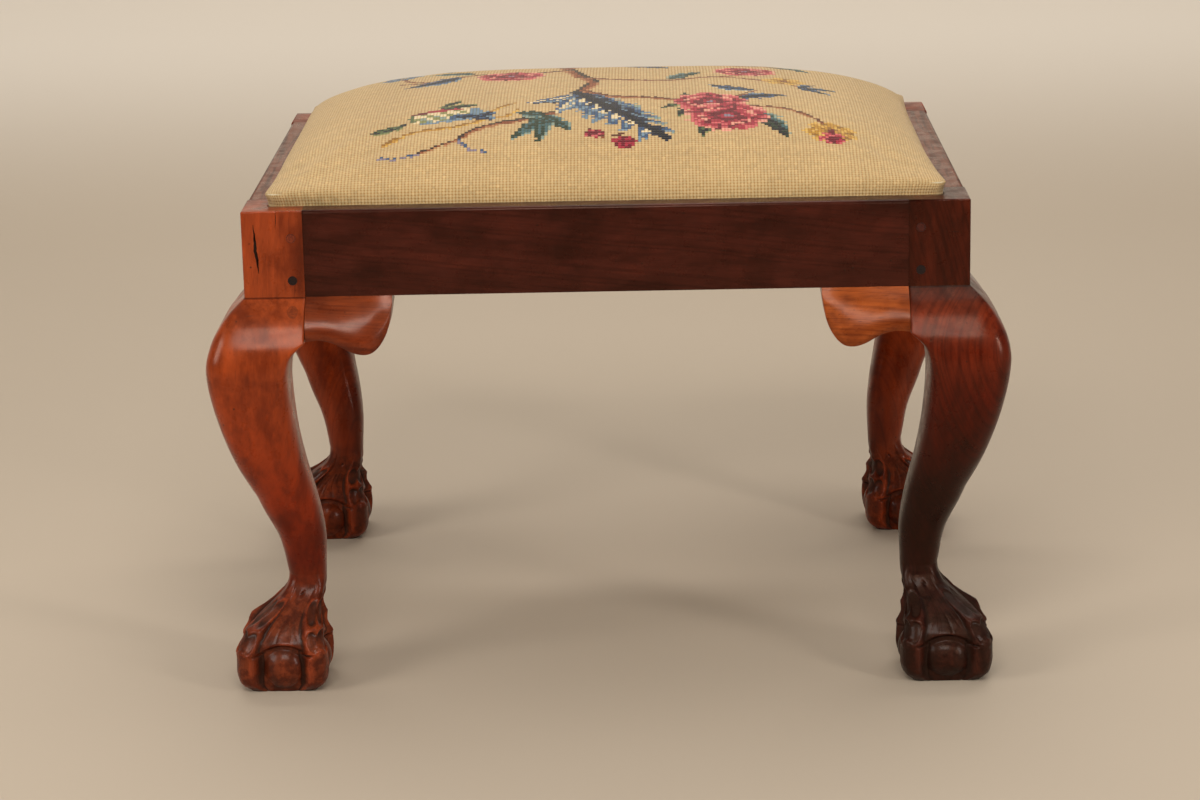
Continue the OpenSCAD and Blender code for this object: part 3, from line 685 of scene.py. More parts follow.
legs = {}
for seed, corner in enumerate(CORNERS, start=1):
    leg = cabriole("cabriole_" + corner, corner, seed)
    post = worn_block("post_" + corner, corner)
    combine(post, clean_copy("leg_" + corner, "solid_" + corner), "INTERSECT")
    if corner == "front_left":
        for places, width, depth in CRACKS:
            combine(post, crack_cutter(places, width, depth, corner), "DIFFERENCE")
    before = len(leg.data.polygons)
    combine(leg, post, "UNION")
    leg.data.shade_smooth()
    leg.data.set_sharp_from_angle(angle=math.radians(50))
    leg.modifiers.new("flat faces stay flat", "WEIGHTED_NORMAL").keep_sharp = True
    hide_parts("leg_" + corner)
    legs[corner] = leg
    faces = len(leg.data.polygons)
    print(leg.name, "has", before, "faces,", faces, "with its post, and", volume_of(leg.data), "cm3")

# %% [markdown]
# Two small brackets, the knee blocks, carry each knee's swelling out under the
# rails. They were sawn apart and glued on, so a joint shows beside the knee,
# and each is a piece of its own. Seen from the front a block's lower edge is
# scrolled; its face keeps the knee's swelling and fades to the rail.

# %% Knee blocks
BLOCK_L = 65
BLOCK_DROP = 42
BLOCK_T = 24
TUCK = 0.3
block_edge_shares = [
    (0, 0.735), (0.17, 0.72), (0.34, 0.79), (0.52, 0.94), (0.65, 1), (0.77, 0.97), (0.88, 0.8),
    (0.96, 0.52), (1, 0.16),
]
block_swell_shares = [(0, 1), (0.4, 0.92), (0.75, 0.7), (1, 0.38)]


def knee_block(name, corner, along_long_rail, seed):
    """One bracket beside a knee, lofted from the post outwards."""
    along = np.concatenate([np.linspace(0, 0.88, 45), np.linspace(0.89, 1, 12)])
    down = np.linspace(0, 1, 33)
    drop = BLOCK_DROP * fair(block_edge_shares, 1, along)[:, None]
    swell = fair(block_swell_shares, 1, along)[:, None]
    depth = down[None, :] * drop
    face = leg_outer(depth / (leg_top - ANKLE_H)) * swell * (1 - TUCK * down[None, :] ** 5)
    face = RAIL_SETBACK + face + 0.15 * wobble(seed, len(along), len(down), 6, 5)
    u = POST_W + 0.2 + along[:, None] * BLOCK_L + 0 * depth
    rows = np.stack([u, face, leg_top - depth], axis=-1)
    u_end = u[:, 0]
    top = np.stack([u_end, np.full_like(u_end, BLOCK_T), np.full_like(u_end, leg_top)], axis=-1)
    low = np.stack([u_end, np.full_like(u_end, BLOCK_T), leg_top - drop[:, 0]], axis=-1)
    rings = np.concatenate([top[:, None], rows, low[:, None]], axis=1)
    count = rings.shape[1]
    points = rings.reshape(-1, 3)
    if not along_long_rail:
        points = points[:, [1, 0, 2]]
    faces = ring_faces(len(along), count) + end_caps(count, len(points))
    made = new_piece(name, to_stool(points, corner), faces, "stool_frame")
    made.data.set_sharp_from_angle(angle=math.radians(40))
    wear_and_highlight = made.modifiers.new("worn edges", "BEVEL")
    wear_and_highlight.width = 0.6 * MM
    wear_and_highlight.segments = 2
    wear_and_highlight.angle_limit = math.radians(50)
    wear_and_highlight.harden_normals = True
    return made


blocks = {}
for seed, corner in enumerate(CORNERS, start=30):
    for kind in ("long", "short"):
        node = f"knee_block_{corner}_{kind}"
        block = knee_block(f"bracket_{corner}_{kind}", corner, kind == "long", seed)
        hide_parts(node)
        blocks[node] = block
print(len(blocks), "knee blocks of", len(block.data.polygons), "faces")

# %% [markdown]
# The rails and the parts that only show when the stool is turned over keep
# the frame's own solids. No edge on real wood is sharp enough to vanish, so
# each gets a small bevel, which also catches the light.

# %% Ease the edges of the frame's own parts
def ease_edges(node, width):
    """Gives one of the frame's own parts a small bevel, width mm across."""
    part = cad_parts[node]
    weld = part.modifiers.new("weld", "WELD")
    weld.merge_threshold = WELD
    bevel = part.modifiers.new("eased edges", "BEVEL")
    bevel.width = width * MM
    bevel.segments = 2
    bevel.angle_limit = math.radians(35)
    bevel.harden_normals = True


LONG_RAILS, SHORT_RAILS = ("front_rail", "back_rail"), ("left_rail", "right_rail")
for node in LONG_RAILS + SHORT_RAILS:
    ease_edges(node, 0.6)
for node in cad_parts:
    if node.startswith(("corner_block_", "seat_frame_")) and node != "corner_block_screws":
        ease_edges(node, 0.5)
eased = [node for node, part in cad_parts.items() if "eased edges" in part.modifiers]
print("eased edges on", len(eased), "of the frame's own parts")

# %% [markdown]
# The seat is a crown. Its height falls off as a product of two curves, one
# along the stool and one across it, so it is nearly flat on top and rolls over
# at the edges. The stuffing, the lining and the needlework all follow it, each
# a little inside the other. A layer's plan is a rectangle with round corners,
# drawn in slightly towards the middle of each side by the tacks.

# %% The crown of the seat
SEAT_A = 254
SEAT_B = 194
CROWN = 49
EDGE_LEVEL = rail_top + 9
CORNER_R = 8
# powers of the crown along and across the stool: how flat its top is, and how it ends at the edge
FLAT_X, END_X = 3.5, 0.5
FLAT_Y, END_Y = 3, 0.8
# how far the tacks draw each side in, and how far the corners puff out between them
DRAW_LEFT, DRAW_RIGHT, DRAW_FRONT, DRAW_BACK = 2.0, 6.5, 2.0, 4.0
EAR = 4.5
MEMBER_TOP = 380.3
# the stuffing swells by about this much when it is tried as cloth, so it starts lower
SWELL = 1.1


def plan(x, y, inside):
    """Places of square coordinates (-1 to 1) in the round-cornered plan of a layer."""
    a, b, r = SEAT_A - inside, SEAT_B - inside, max(CORNER_R - inside, 0.3)
    px, py = a * x, b * y
    p = np.clip((np.abs(px) - (a - r)) / r, 0, 1)
    q = np.clip((np.abs(py) - (b - r)) / r, 0, 1)
    round_x = a - r + r * p * np.sqrt(1 - q * q / 2)
    round_y = b - r + r * q * np.sqrt(1 - p * p / 2)
    both = (p > 0) & (q > 0)
    px = np.where(both, np.sign(px) * round_x, px)
    py = np.where(both, np.sign(py) * round_y, py)
    return px, py, a, b


def rise(px, py, a, b):
    """Share of the crown's height at a place of the plan."""
    along = np.maximum(1 - np.abs(px / a) ** FLAT_X, 0) ** END_X
    across = np.maximum(1 - np.abs(py / b) ** FLAT_Y, 0) ** END_Y
    return along * across


def draw_in(px, py, a, b, share):
    """Pulls the sides in between the corners, and lets the corners puff out."""
    side, end = np.abs(px / a) ** 8, np.abs(py / b) ** 8
    draw_x = np.where(px < 0, DRAW_LEFT, DRAW_RIGHT) * np.cos(math.pi / 2 * py / b)
    draw_y = np.where(py < 0, DRAW_FRONT, DRAW_BACK) * np.cos(math.pi / 2 * px / a)
    ear = np.where(py < 0, EAR, 0.3 * EAR)
    x = px - np.sign(px) * share * side * (draw_x - ear * end)
    y = py - np.sign(py) * share * end * (draw_y - ear * side)
    return x, y


def crown_place(x, y, inside):
    """Places on a layer's crown, in millimetres, of square coordinates."""
    px, py, a, b = plan(x, y, inside)
    z = EDGE_LEVEL + (CROWN - SWELL - inside) * rise(px, py, a, b)
    share = np.maximum(np.abs(x), np.abs(y))
    qx, qy = draw_in(px, py, a, b, share**6)
    return np.stack([qx, qy, z], axis=-1)


def even_steps(size, flat, end, step):
    """Shares from -1 to 1 that lie evenly along the crown's profile, and their number of steps."""
    fine = np.sin(np.linspace(0, math.pi / 2, 4000))
    height = CROWN * np.maximum(1 - fine**flat, 0) ** end
    length = np.concatenate([[0], np.cumsum(np.hypot(np.diff(fine * size), np.diff(height)))])
    count = int(round(length[-1] / step))
    half = np.interp(np.linspace(0, length[-1], count + 1), length, fine)
    return np.concatenate([-half[:0:-1], half]), 2 * count


crown_top = crown_place(np.zeros(1), np.zeros(1), 0)[0, 2]
print(f"the crown is {crown_top - rail_top:.1f} mm over the rails before it swells")

# %% [markdown]
# The stuffing comes first, because everything above it takes its shape. Curled
# hair swells against the cloth that holds it down, and no rule gives that shape
# as well as trying it: a copy of the pad is blown up as cloth, held where it
# lies on the hessian, and how far each place moved is noted. No place may move
# more than a few millimetres, so the pad starts a little flatter. Lining and
# needlework then move with the stuffing under them.

# %% The stuffing
LAYER_COLUMNS, LAYER_ROWS = 72, 56
PAD_INSIDE = 3.2
PAD_BOTTOM = 383.7


def grid_faces(columns, rows):
    """Quads between the points of a grid, row by row."""
    low = (np.arange(rows - 1)[:, None] * columns + np.arange(columns - 1)[None, :]).ravel()
    return np.stack([low, low + 1, low + columns + 1, low + columns], axis=-1).tolist()


def rim_indices(columns, rows):
    """Indices of a grid's edge, once round."""
    low = [i for i in range(columns)]
    right_side = [r * columns + columns - 1 for r in range(1, rows)]
    high = [(rows - 1) * columns + i for i in range(columns - 2, -1, -1)]
    left_side = [r * columns for r in range(rows - 2, 0, -1)]
    return np.array(low + right_side + high + left_side)


def rim_ring(x, y, inside, draw, z):
    """A ring of points under a layer's rim. draw is the share of the tacks' pull that it feels."""
    qx, qy = draw_in(*plan(x, y, inside), draw)
    return np.stack([qx, qy, np.full_like(qx, z)], axis=-1)


def hang_rings(top, faces, rim, rings):
    """Hangs rings under a grid's rim. Gives all points, all faces and the last ring's indices."""
    above, total = rim, len(top)
    for _ in rings:
        below = total + np.arange(len(rim))
        faces += np.stack([np.roll(above, -1), above, below, np.roll(below, -1)], axis=-1).tolist()
        above, total = below, total + len(rim)
    return np.concatenate([top, *rings]), faces, above


def layer_mesh(inside, levels):
    """Crown grid of a layer with rings down its sides. levels are (height, draw)."""
    x = np.sin(np.linspace(-1, 1, LAYER_COLUMNS) * math.pi / 2)
    y = np.sin(np.linspace(-1, 1, LAYER_ROWS) * math.pi / 2)
    grid_x, grid_y = np.meshgrid(x, y)
    rim = rim_indices(LAYER_COLUMNS, LAYER_ROWS)
    rings = [rim_ring(grid_x.ravel()[rim], grid_y.ravel()[rim], inside, draw, z) for z, draw in levels]
    top = crown_place(grid_x, grid_y, inside).reshape(-1, 3)
    return hang_rings(top, grid_faces(LAYER_COLUMNS, LAYER_ROWS), rim, rings)


pad_points, pad_faces, pad_rim = layer_mesh(PAD_INSIDE, [(PAD_BOTTOM, 1)])
pad_faces.append(tuple(pad_rim))
pad = new_piece("stuffing", pad_points * MM, pad_faces, "drop_in_seat")
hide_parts("stuffing_pad")
print("stuffing of", len(pad_faces), "faces")

# %% [markdown]
# The trial needs an even mesh, so the copy is remeshed in small cubes. A little
# lumpiness is added first, because hair never lies quite level. Then it is
# blown up for twenty frames. Whatever lies nearest to a moved place moves with
# it, up to a cap.

# %% Puff the stuffing up
PUFF_CELL = 6
PUFF_PRESSURE = 4
PUFF_FRAMES = 20
PUFF_CAP = 3.0


def mesh_places(mesh):
    """A mesh's points in millimetres."""
    flat = np.empty(3 * len(mesh.vertices))
    mesh.vertices.foreach_get("co", flat)
    return flat.reshape(-1, 3) / MM


def puff(piece):
    """Blows a copy of a pad up as cloth. Gives its places before, and how far each moved."""
    made = new_object("puffed", piece.data.copy())
    even = made.modifiers.new("even mesh", "REMESH")
    even.mode = "VOXEL"
    even.voxel_size = PUFF_CELL * MM
    bpy.context.view_layer.update()
    mesh = bpy.data.meshes.new_from_object(evaluated(made))
    made.modifiers.clear()
    made.data = mesh
    before = mesh_places(mesh)
    lumps = 0.5 * np.sin(before[:, 0] / 31 + 1.3 * np.sin(before[:, 1] / 44)) * np.sin(before[:, 1] / 27)
    before[:, 2] += lumps * (before[:, 2] > PAD_BOTTOM + 8)
    mesh.vertices.foreach_set("co", (before * MM).ravel())
    held = made.vertex_groups.new(name="held")
    held.add([int(i) for i in np.nonzero(before[:, 2] < PAD_BOTTOM + 2.5)[0]], 1.0, "REPLACE")
    cloth = made.modifiers.new("cloth", "CLOTH")
    cloth.settings.vertex_group_mass = "held"
    cloth.settings.use_pressure = True
    cloth.settings.uniform_pressure_force = PUFF_PRESSURE
    cloth.settings.effector_weights.gravity = 0
    cloth.point_cache.frame_start, cloth.point_cache.frame_end = 1, PUFF_FRAMES
    for step in range(1, PUFF_FRAMES + 1):
        bpy.context.scene.frame_set(step)
    after = mesh_places(evaluated(made).to_mesh())
    bpy.data.objects.remove(made)
    bpy.context.scene.frame_set(1)
    return before, after - before


def settled(points):
    """Places of a layer after the stuffing under it has swelled."""
    out = points.copy()
    for i, point in enumerate(points):
        near = puffed_tree.find_n(point, 7)
        weights = np.array([1 / (1 + away) for _, _, away in near])
        move = weights @ puffed_moves[[n for _, n, _ in near]] / weights.sum()
        length = np.linalg.norm(move)
        out[i] = point + move * (PUFF_CAP * math.tanh(length / PUFF_CAP) / max(length, 1e-6))
    return out


puffed_places, puffed_moves = puff(pad)
puffed_tree = KDTree(len(puffed_places))
for i, place in enumerate(puffed_places):
    puffed_tree.insert(place, i)
puffed_tree.balance()
moved = np.linalg.norm(puffed_moves, axis=1)
print(f"stuffing swelled by {moved.mean():.1f} mm, at most {moved.max():.1f} mm before the cap")
pad.data.vertices.foreach_set("co", (settled(pad_points) * MM).ravel())
pad.data.update()

# %% [markdown]
# The cover is worked in tent stitch: each stitch crosses one mesh of the
# canvas, 2.54 mm wide, ten to the inch. The mesh of the cover has one face for
# each stitch, laid evenly along the crown, down the seat's sides and under it.
# So every stitch can take its own colour, as on a stitcher's chart. Where the
# cover rolls over its edge the rows are smoothed, because wool and canvas are
# too thick to bend sharply.

# %% Stitch grid
STITCH = 2.54
TURN_UNDER = 24
HEM_T, HEM_BACK = 1.9, 4
ROLL_LOW, ROLL_HIGH, ROLL_PASSES = 379.5, 393, 12
shares_x, stitches_x = even_steps(SEAT_A, FLAT_X, END_X, STITCH)
shares_y, stitches_y = even_steps(SEAT_B, FLAT_Y, END_Y, STITCH)
side_levels = np.linspace(EDGE_LEVEL, ledge_h, 10)[1:]
under_steps = np.linspace(0, TURN_UNDER, 9)[1:]
print("canvas of", stitches_x, "by", stitches_y, "stitches on the crown")


def outward(share):
    """-1 or 1 at the ends of the canvas, and 0 between them."""
    return np.where(np.abs(share) > 0.9999, np.sign(share), 0)


def cover_mesh():
    """The needlework's points, their places on the canvas, and its faces, one for each stitch."""
    columns, rows = len(shares_x), len(shares_y)
    grid_x, grid_y = np.meshgrid(shares_x, shares_y)
    top = crown_place(grid_x, grid_y, 0).reshape(-1, 3)
    stitch_x, stitch_y = np.meshgrid(np.arange(columns) - stitches_x // 2, np.arange(rows) - stitches_y // 2)
    canvas = np.stack([stitch_x.ravel(), stitch_y.ravel()], axis=-1).astype(float)
    rim = rim_indices(columns, rows)
    rim_x, rim_y = grid_x.ravel()[rim], grid_y.ravel()[rim]
    edge_z = top[rim][:, 2]
    rings = []
    for z in side_levels:
        share = (EDGE_LEVEL - z) / (EDGE_LEVEL - ledge_h)
        draw = float(smooth_step(MEMBER_TOP, EDGE_LEVEL, z))
        rings.append(rim_ring(rim_x, rim_y, 0, draw, edge_z + (ledge_h - edge_z) * share))
    for inside in under_steps:
        rings.append(rim_ring(rim_x, rim_y, inside, 0, ledge_h))
    for inside in (TURN_UNDER, TURN_UNDER - HEM_BACK):
        rings.append(rim_ring(rim_x, rim_y, inside, 0, ledge_h + HEM_T))
    out = np.stack([outward(rim_x), outward(rim_y)], axis=-1)
    canvas = np.concatenate([canvas, *[canvas[rim] + out * n for n in range(1, len(rings) + 1)]])
    points, faces, _ = hang_rings(top, grid_faces(columns, rows), rim, rings)
    return points, canvas, faces


cover_points, cover_places, cover_faces = cover_mesh()
cover = new_piece("needlework", settled(cover_points) * MM, cover_faces, "drop_in_seat")
uv = cover.data.uv_layers.new(name="canvas")
loop_vertex = np.empty(len(cover.data.loops), int)
cover.data.loops.foreach_get("vertex_index", loop_vertex)
uv.data.foreach_set("uv", cover_places[loop_vertex].astype(np.float32).ravel())
bm = bmesh.new()
bm.from_mesh(cover.data)
rolled = [v for v in bm.verts if ROLL_LOW < v.co.z / MM < ROLL_HIGH]
for _ in range(ROLL_PASSES):
    bmesh.ops.smooth_vert(bm, verts=rolled, factor=0.5, use_axis_x=True, use_axis_y=True, use_axis_z=True)
bm.to_mesh(cover.data)
bm.free()
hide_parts("needlepoint_cover")
print("needlework of", len(cover_faces), "stitches")

# %% [markdown]
# Between the needlework and the stuffing a calico lining holds the hair down.
# It is a thin cloth of the same shape, a little further in, nailed to the
# members' sides. The hessian under the stuffing is a flat sheet that lies on
# the webbing, so it keeps the size that the frame gives it.

# %% Lining and hessian
LINING_INSIDE = 2.6
LINING_FOOT = 372.3
HESSIAN_COLUMNS, HESSIAN_ROWS = 40, 30

lining_points, lining_faces, _ = layer_mesh(LINING_INSIDE, [(MEMBER_TOP, 0), (LINING_FOOT, 0)])
lining = new_piece("lining", settled(lining_points) * MM, lining_faces, "drop_in_seat")
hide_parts("calico_lining")

low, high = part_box("hessian")
hessian_x = np.linspace(low.x, high.x, HESSIAN_COLUMNS)
hessian_y = np.linspace(low.y, high.y, HESSIAN_ROWS)
hessian_x, hessian_y = (grid.ravel() for grid in np.meshgrid(hessian_x, hessian_y))
hessian_points = np.column_stack([hessian_x, hessian_y, np.full_like(hessian_x, (low.z + high.z) / 2)])
hessian = new_piece("burlap", hessian_points, grid_faces(HESSIAN_COLUMNS, HESSIAN_ROWS), "drop_in_seat")
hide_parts("hessian")
print("lining of", len(lining_faces), "faces, hessian", round((high.x - low.x) / MM), "mm long")

# %% [markdown]
# The wood is mahogany under old French polish. Its colour is a red-brown that
# age has turned to orange where hands have worn it, with a painted highlight on
# the carving's crests, and nearly black where wax and dust have settled in the
# carving, with painted shade in its hollows. Its figure comes from the tree:
# growth layers, which a curved surface cuts into arcs, streaks along the grain,
# and fine open pores. The polish is a thin clear coat, not quite even.
#
# A finish is built from small nodes. These helpers add a node, join sockets
# and mix colours, so that the recipe of each finish reads from top to bottom.

# %% Helpers for finishes
def new_finish(name):
    """A new material, its tree of nodes and its shader."""
    made = bpy.data.materials.new(name)
    made.use_nodes = True
    tree = made.node_tree
    return made, tree, tree.nodes["Principled BSDF"]


def give(tree, node, inputs):
    """Sets a node's inputs, or links other nodes' outputs to them."""
    for key, value in inputs.items():
        socket = node.inputs[key]
        if isinstance(value, bpy.types.NodeSocket):
            tree.links.new(value, socket)
        elif socket.type == "RGBA" and len(value) == 3:
            socket.default_value = (*value, 1)
        else:
            socket.default_value = value


def add(tree, kind, inputs=None, **settings):
    """A new node with its inputs and settings."""
    node = tree.nodes.new("ShaderNode" + kind)
    for key, value in settings.items():
        setattr(node, key, value)
    give(tree, node, inputs or {})
    return node


def maths(tree, operation, first, second=0.0):
    return add(tree, "Math", {0: first, 1: second}, operation=operation).outputs[0]


def times(tree, first, second):
    return maths(tree, "MULTIPLY", first, second)


def vector(tree, operation, first, second=(0.0, 0.0, 0.0)):
    """One step of vector maths. A length or a dot product comes out as a number."""
    node = add(tree, "VectorMath", {0: first, 1: second}, operation=operation)
    return node.outputs["Value" if operation in ("LENGTH", "DOT_PRODUCT") else "Vector"]


def distance_from(tree, place, centre, stretch):
    """Distance of a place from a centre, with each axis weighed by a factor."""
    return vector(tree, "LENGTH", vector(tree, "MULTIPLY", vector(tree, "SUBTRACT", place, centre), stretch))


def remap(tree, value, low, high, out_low=0.0, out_high=1.0):
    inputs = {"Value": value, "From Min": low, "From Max": high, "To Min": out_low, "To Max": out_high}
    return add(tree, "MapRange", inputs, interpolation_type="SMOOTHSTEP").outputs[0]


def mix(tree, factor, first, second, blend_type="MIX"):
    inputs = {0: factor, 6: first, 7: second}
    return add(tree, "Mix", inputs, data_type="RGBA", blend_type=blend_type).outputs[2]


def tint(tree, amount, colour, shade):
    """A colour multiplied by a shade, by an amount."""
    return mix(tree, amount, colour, mix(tree, 1.0, colour, shade, "MULTIPLY"))


def ramp(tree, value, stops):
    """Colour ramp whose stops are (place, colour)."""
    node = add(tree, "ValToRGB", {"Fac": value})
    elements = node.color_ramp.elements
    while len(elements) < len(stops):
        elements.new(0.5)
    for element, (place, colour) in zip(elements, stops):
        element.position = place
        element.color = (*colour, 1)
    return node.outputs[0]


def noise(tree, place, scale, detail=2.0, roughness=0.5, distortion=0.0):
    """Soft noise in three dimensions. scale is in waves a metre."""
    inputs = {"Vector": place, "Scale": scale, "Detail": detail}
    inputs |= {"Roughness": roughness, "Distortion": distortion}
    return add(tree, "TexNoise", inputs).outputs[0]


def bumps(tree, height, strength, distance, under=None):
    """Fine relief, on top of another one if it is given."""
    inputs = {"Height": height, "Strength": strength, "Distance": distance}
    if under is not None:
        inputs["Normal"] = under
    return add(tree, "Bump", inputs).outputs[0]


def stretched(tree, place, scale):
    return add(tree, "Mapping", {"Vector": place, "Scale": scale}).outputs[0]


def object_place(tree):
    return add(tree, "TexCoord").outputs["Object"]


def attribute(tree, name):
    """A value that is kept with the mesh."""
    return add(tree, "Attribute", attribute_name=name).outputs["Fac"]


def srgb(red, green, blue):
    """A colour picked from 0 to 255, as the linear colour the shader wants."""
    shares = np.array([red, green, blue]) / 255
    linear = np.where(shares < 0.04045, shares / 12.92, ((shares + 0.055) / 1.055) ** 2.4)
    return tuple(float(c) for c in linear)


def paint(piece, material):
    """Makes a finish the only one of a piece."""
    piece.data.materials.clear()
    piece.data.materials.append(material)


print("a middle brown in linear light:", [round(c, 3) for c in srgb(120, 80, 50)])

# %% [markdown]
# Mahogany is put together in the order in which it came about: first the wood's
# own colour and figure, then its pores, then a century of knocks, then wax and
# wear in the carving, with painted shade in its hollows and joints and a painted
# highlight on its crests, then the polish, and a painted reflection on the short
# rails' tops. Each of those is a short recipe that is given the colour so far
# and gives it back darker or brighter in places.

# %% Mahogany
# how much noise is stretched for a grain along each axis
ALONG = {"x": (0.05, 1, 1), "y": (1, 0.05, 1), "z": (1, 1, 0.05)}
# height up to which the colours by height are given
COLOURS_TOP = 380


def wandering(tree, place):
    """Places shifted by up to three millimetres, so that no figure runs dead straight."""
    drift = add(tree, "TexNoise", {"Vector": place, "Scale": 11.0, "Detail": 1.0}).outputs["Color"]
    offset = vector(tree, "SUBTRACT", drift, (0.5, 0.5, 0.5))
    offset = add(tree, "VectorMath", {0: offset, "Scale": 0.006}, operation="SCALE").outputs[0]
    return vector(tree, "ADD", place, offset)


def wood_figure(tree, colour, place, wandered, grain, layers, figure):
    """Mottled light, handled patches, growth layers and streaks. Gives colour, patches and streaks."""
    mottle = noise(tree, stretched(tree, place, [0.25 + 0.75 * s for s in ALONG[grain]]), 64.0, 4.0, 0.62)
    colour = tint(tree, remap(tree, mottle, 0.42, 0.66, 0, 0.72), colour, (0.42, 0.32, 0.28))
    colour = tint(tree, remap(tree, mottle, 0.46, 0.3, 0, 0.5), colour, (1.5, 1.45, 1.3))
    handled = noise(tree, place, 23.0, 4.0, 0.62)
    colour = tint(tree, remap(tree, handled, 0.5, 0.64, 0, 0.5), colour, (0.5, 0.38, 0.32))
    growth = vector(tree, "DOT_PRODUCT", wandered, layers)
    inputs = {"W": growth, "Scale": 420.0, "Detail": 2.0, "Roughness": 0.7}
    layer = add(tree, "TexNoise", inputs, noise_dimensions="1D").outputs[0]
    colour = tint(tree, remap(tree, layer, 0.45, 0.66, 0, 0.8 * figure), colour, (0.4, 0.28, 0.25))
    streak = noise(tree, stretched(tree, wandered, ALONG[grain]), 330.0, 4.0, 0.65)
    colour = tint(tree, remap(tree, streak, 0.42, 0.7, 0, 0.4 * figure + 0.05), colour, (0.5, 0.36, 0.3))
    colour = tint(tree, remap(tree, streak, 0.48, 0.28, 0, 0.22), colour, (1.5, 1.35, 1.2))
    return colour, handled, streak


def knocked(tree, place, handled, knocks):
    """Small dents, and scratches where the wood was handled."""
    dents = add(tree, "TexVoronoi", {"Vector": place, "Scale": 105.0, "Randomness": 1.0})
    where = remap(tree, noise(tree, place, 26.0, 1.0), 0.52, 0.6)
    dent = times(tree, remap(tree, dents.outputs["Distance"], 0.11, 0.05), where)
    scratches = noise(tree, stretched(tree, place, (0.12, 0.9, 1.4)), 520.0, 1.0)
    scratch = times(tree, remap(tree, scratches, 0.76, 0.8), remap(tree, handled, 0.45, 0.55))
    return times(tree, maths(tree, "MAXIMUM", dent, scratch), knocks)


def joint_shadow(tree, split):
    """The painted shadow of the line under the post, and painted shade in the corners between the post and
    its rails.
    """
    height = split.outputs["Z"]
    above_line = maths(tree, "SUBTRACT", height, (leg_top - 0.4) * MM)
    joint = remap(tree, maths(tree, "ABSOLUTE", above_line), 0.9 * MM, 0.3 * MM)
    for axis, reach in (("X", FRAME_W / 2 - POST_W), ("Y", FRAME_D / 2 - POST_W)):
        aside = maths(tree, "ABSOLUTE", split.outputs[axis])
        above = remap(tree, height, leg_top * MM, (leg_top + 1) * MM)
        shade = remap(tree, aside, (reach + 9) * MM, reach * MM, 0, 0.55)
        joint = maths(tree, "MAXIMUM", joint, times(tree, shade, above))
    return joint


def wax_wear_and_painted_light(tree, colour, place, split, low):
    """Grime on the foot, wear and a painted highlight on the crests, old wax and painted shade in the
    hollows, painted shade at the joints and in the cracks. Gives colour and hollows.
    """
    relief = attribute(tree, "relief")
    hollow = remap(tree, relief, -0.2, -0.95)
    wear_and_highlight = remap(tree, relief, 0.12, 0.8)
    grime = remap(tree, noise(tree, place, 95.0, 4.0, 0.65), 0.42, 0.6, 0, 0.85)
    colour = tint(tree, times(tree, grime, low), colour, (0.4, 0.3, 0.27))
    # Crests brighter: wear, with a painted highlight.
    colour = tint(tree, times(tree, wear_and_highlight, 0.55), colour, (2.1, 1.9, 1.8))
    # Hollows nearly black: old wax, with painted shade.
    colour = mix(tree, times(tree, hollow, 0.8), colour, (0.014, 0.006, 0.004))
    # Painted shade at the line under the post and in the corners beside the rails.
    colour = tint(tree, times(tree, joint_shadow(tree, split), 0.8), colour, (0.24, 0.18, 0.16))
    # Inside the cracks nearly black: painted shade.
    return mix(tree, attribute(tree, "crack"), colour, (0.012, 0.006, 0.004)), hollow


def plugged(tree, colour, place, centre, inner, outer, strength):
    """The dark ring and stained middle of a plugged hole in a face that looks to the front."""
    reach = distance_from(tree, place, [c * MM for c in centre], (1.0, 0.02, 1.0))
    within = remap(tree, reach, outer * MM, (outer - 0.6) * MM)
    ring = times(tree, remap(tree, reach, inner * MM, (inner + 0.5) * MM), within)
    smudge = remap(tree, noise(tree, place, 480.0, 3.0, 0.6), 0.42, 0.62, 0.1, 0.75)
    stain = maths(tree, "MAXIMUM", times(tree, ring, 0.7), times(tree, within, smudge))
    return mix(tree, times(tree, stain, strength), colour, (0.05, 0.016, 0.008))


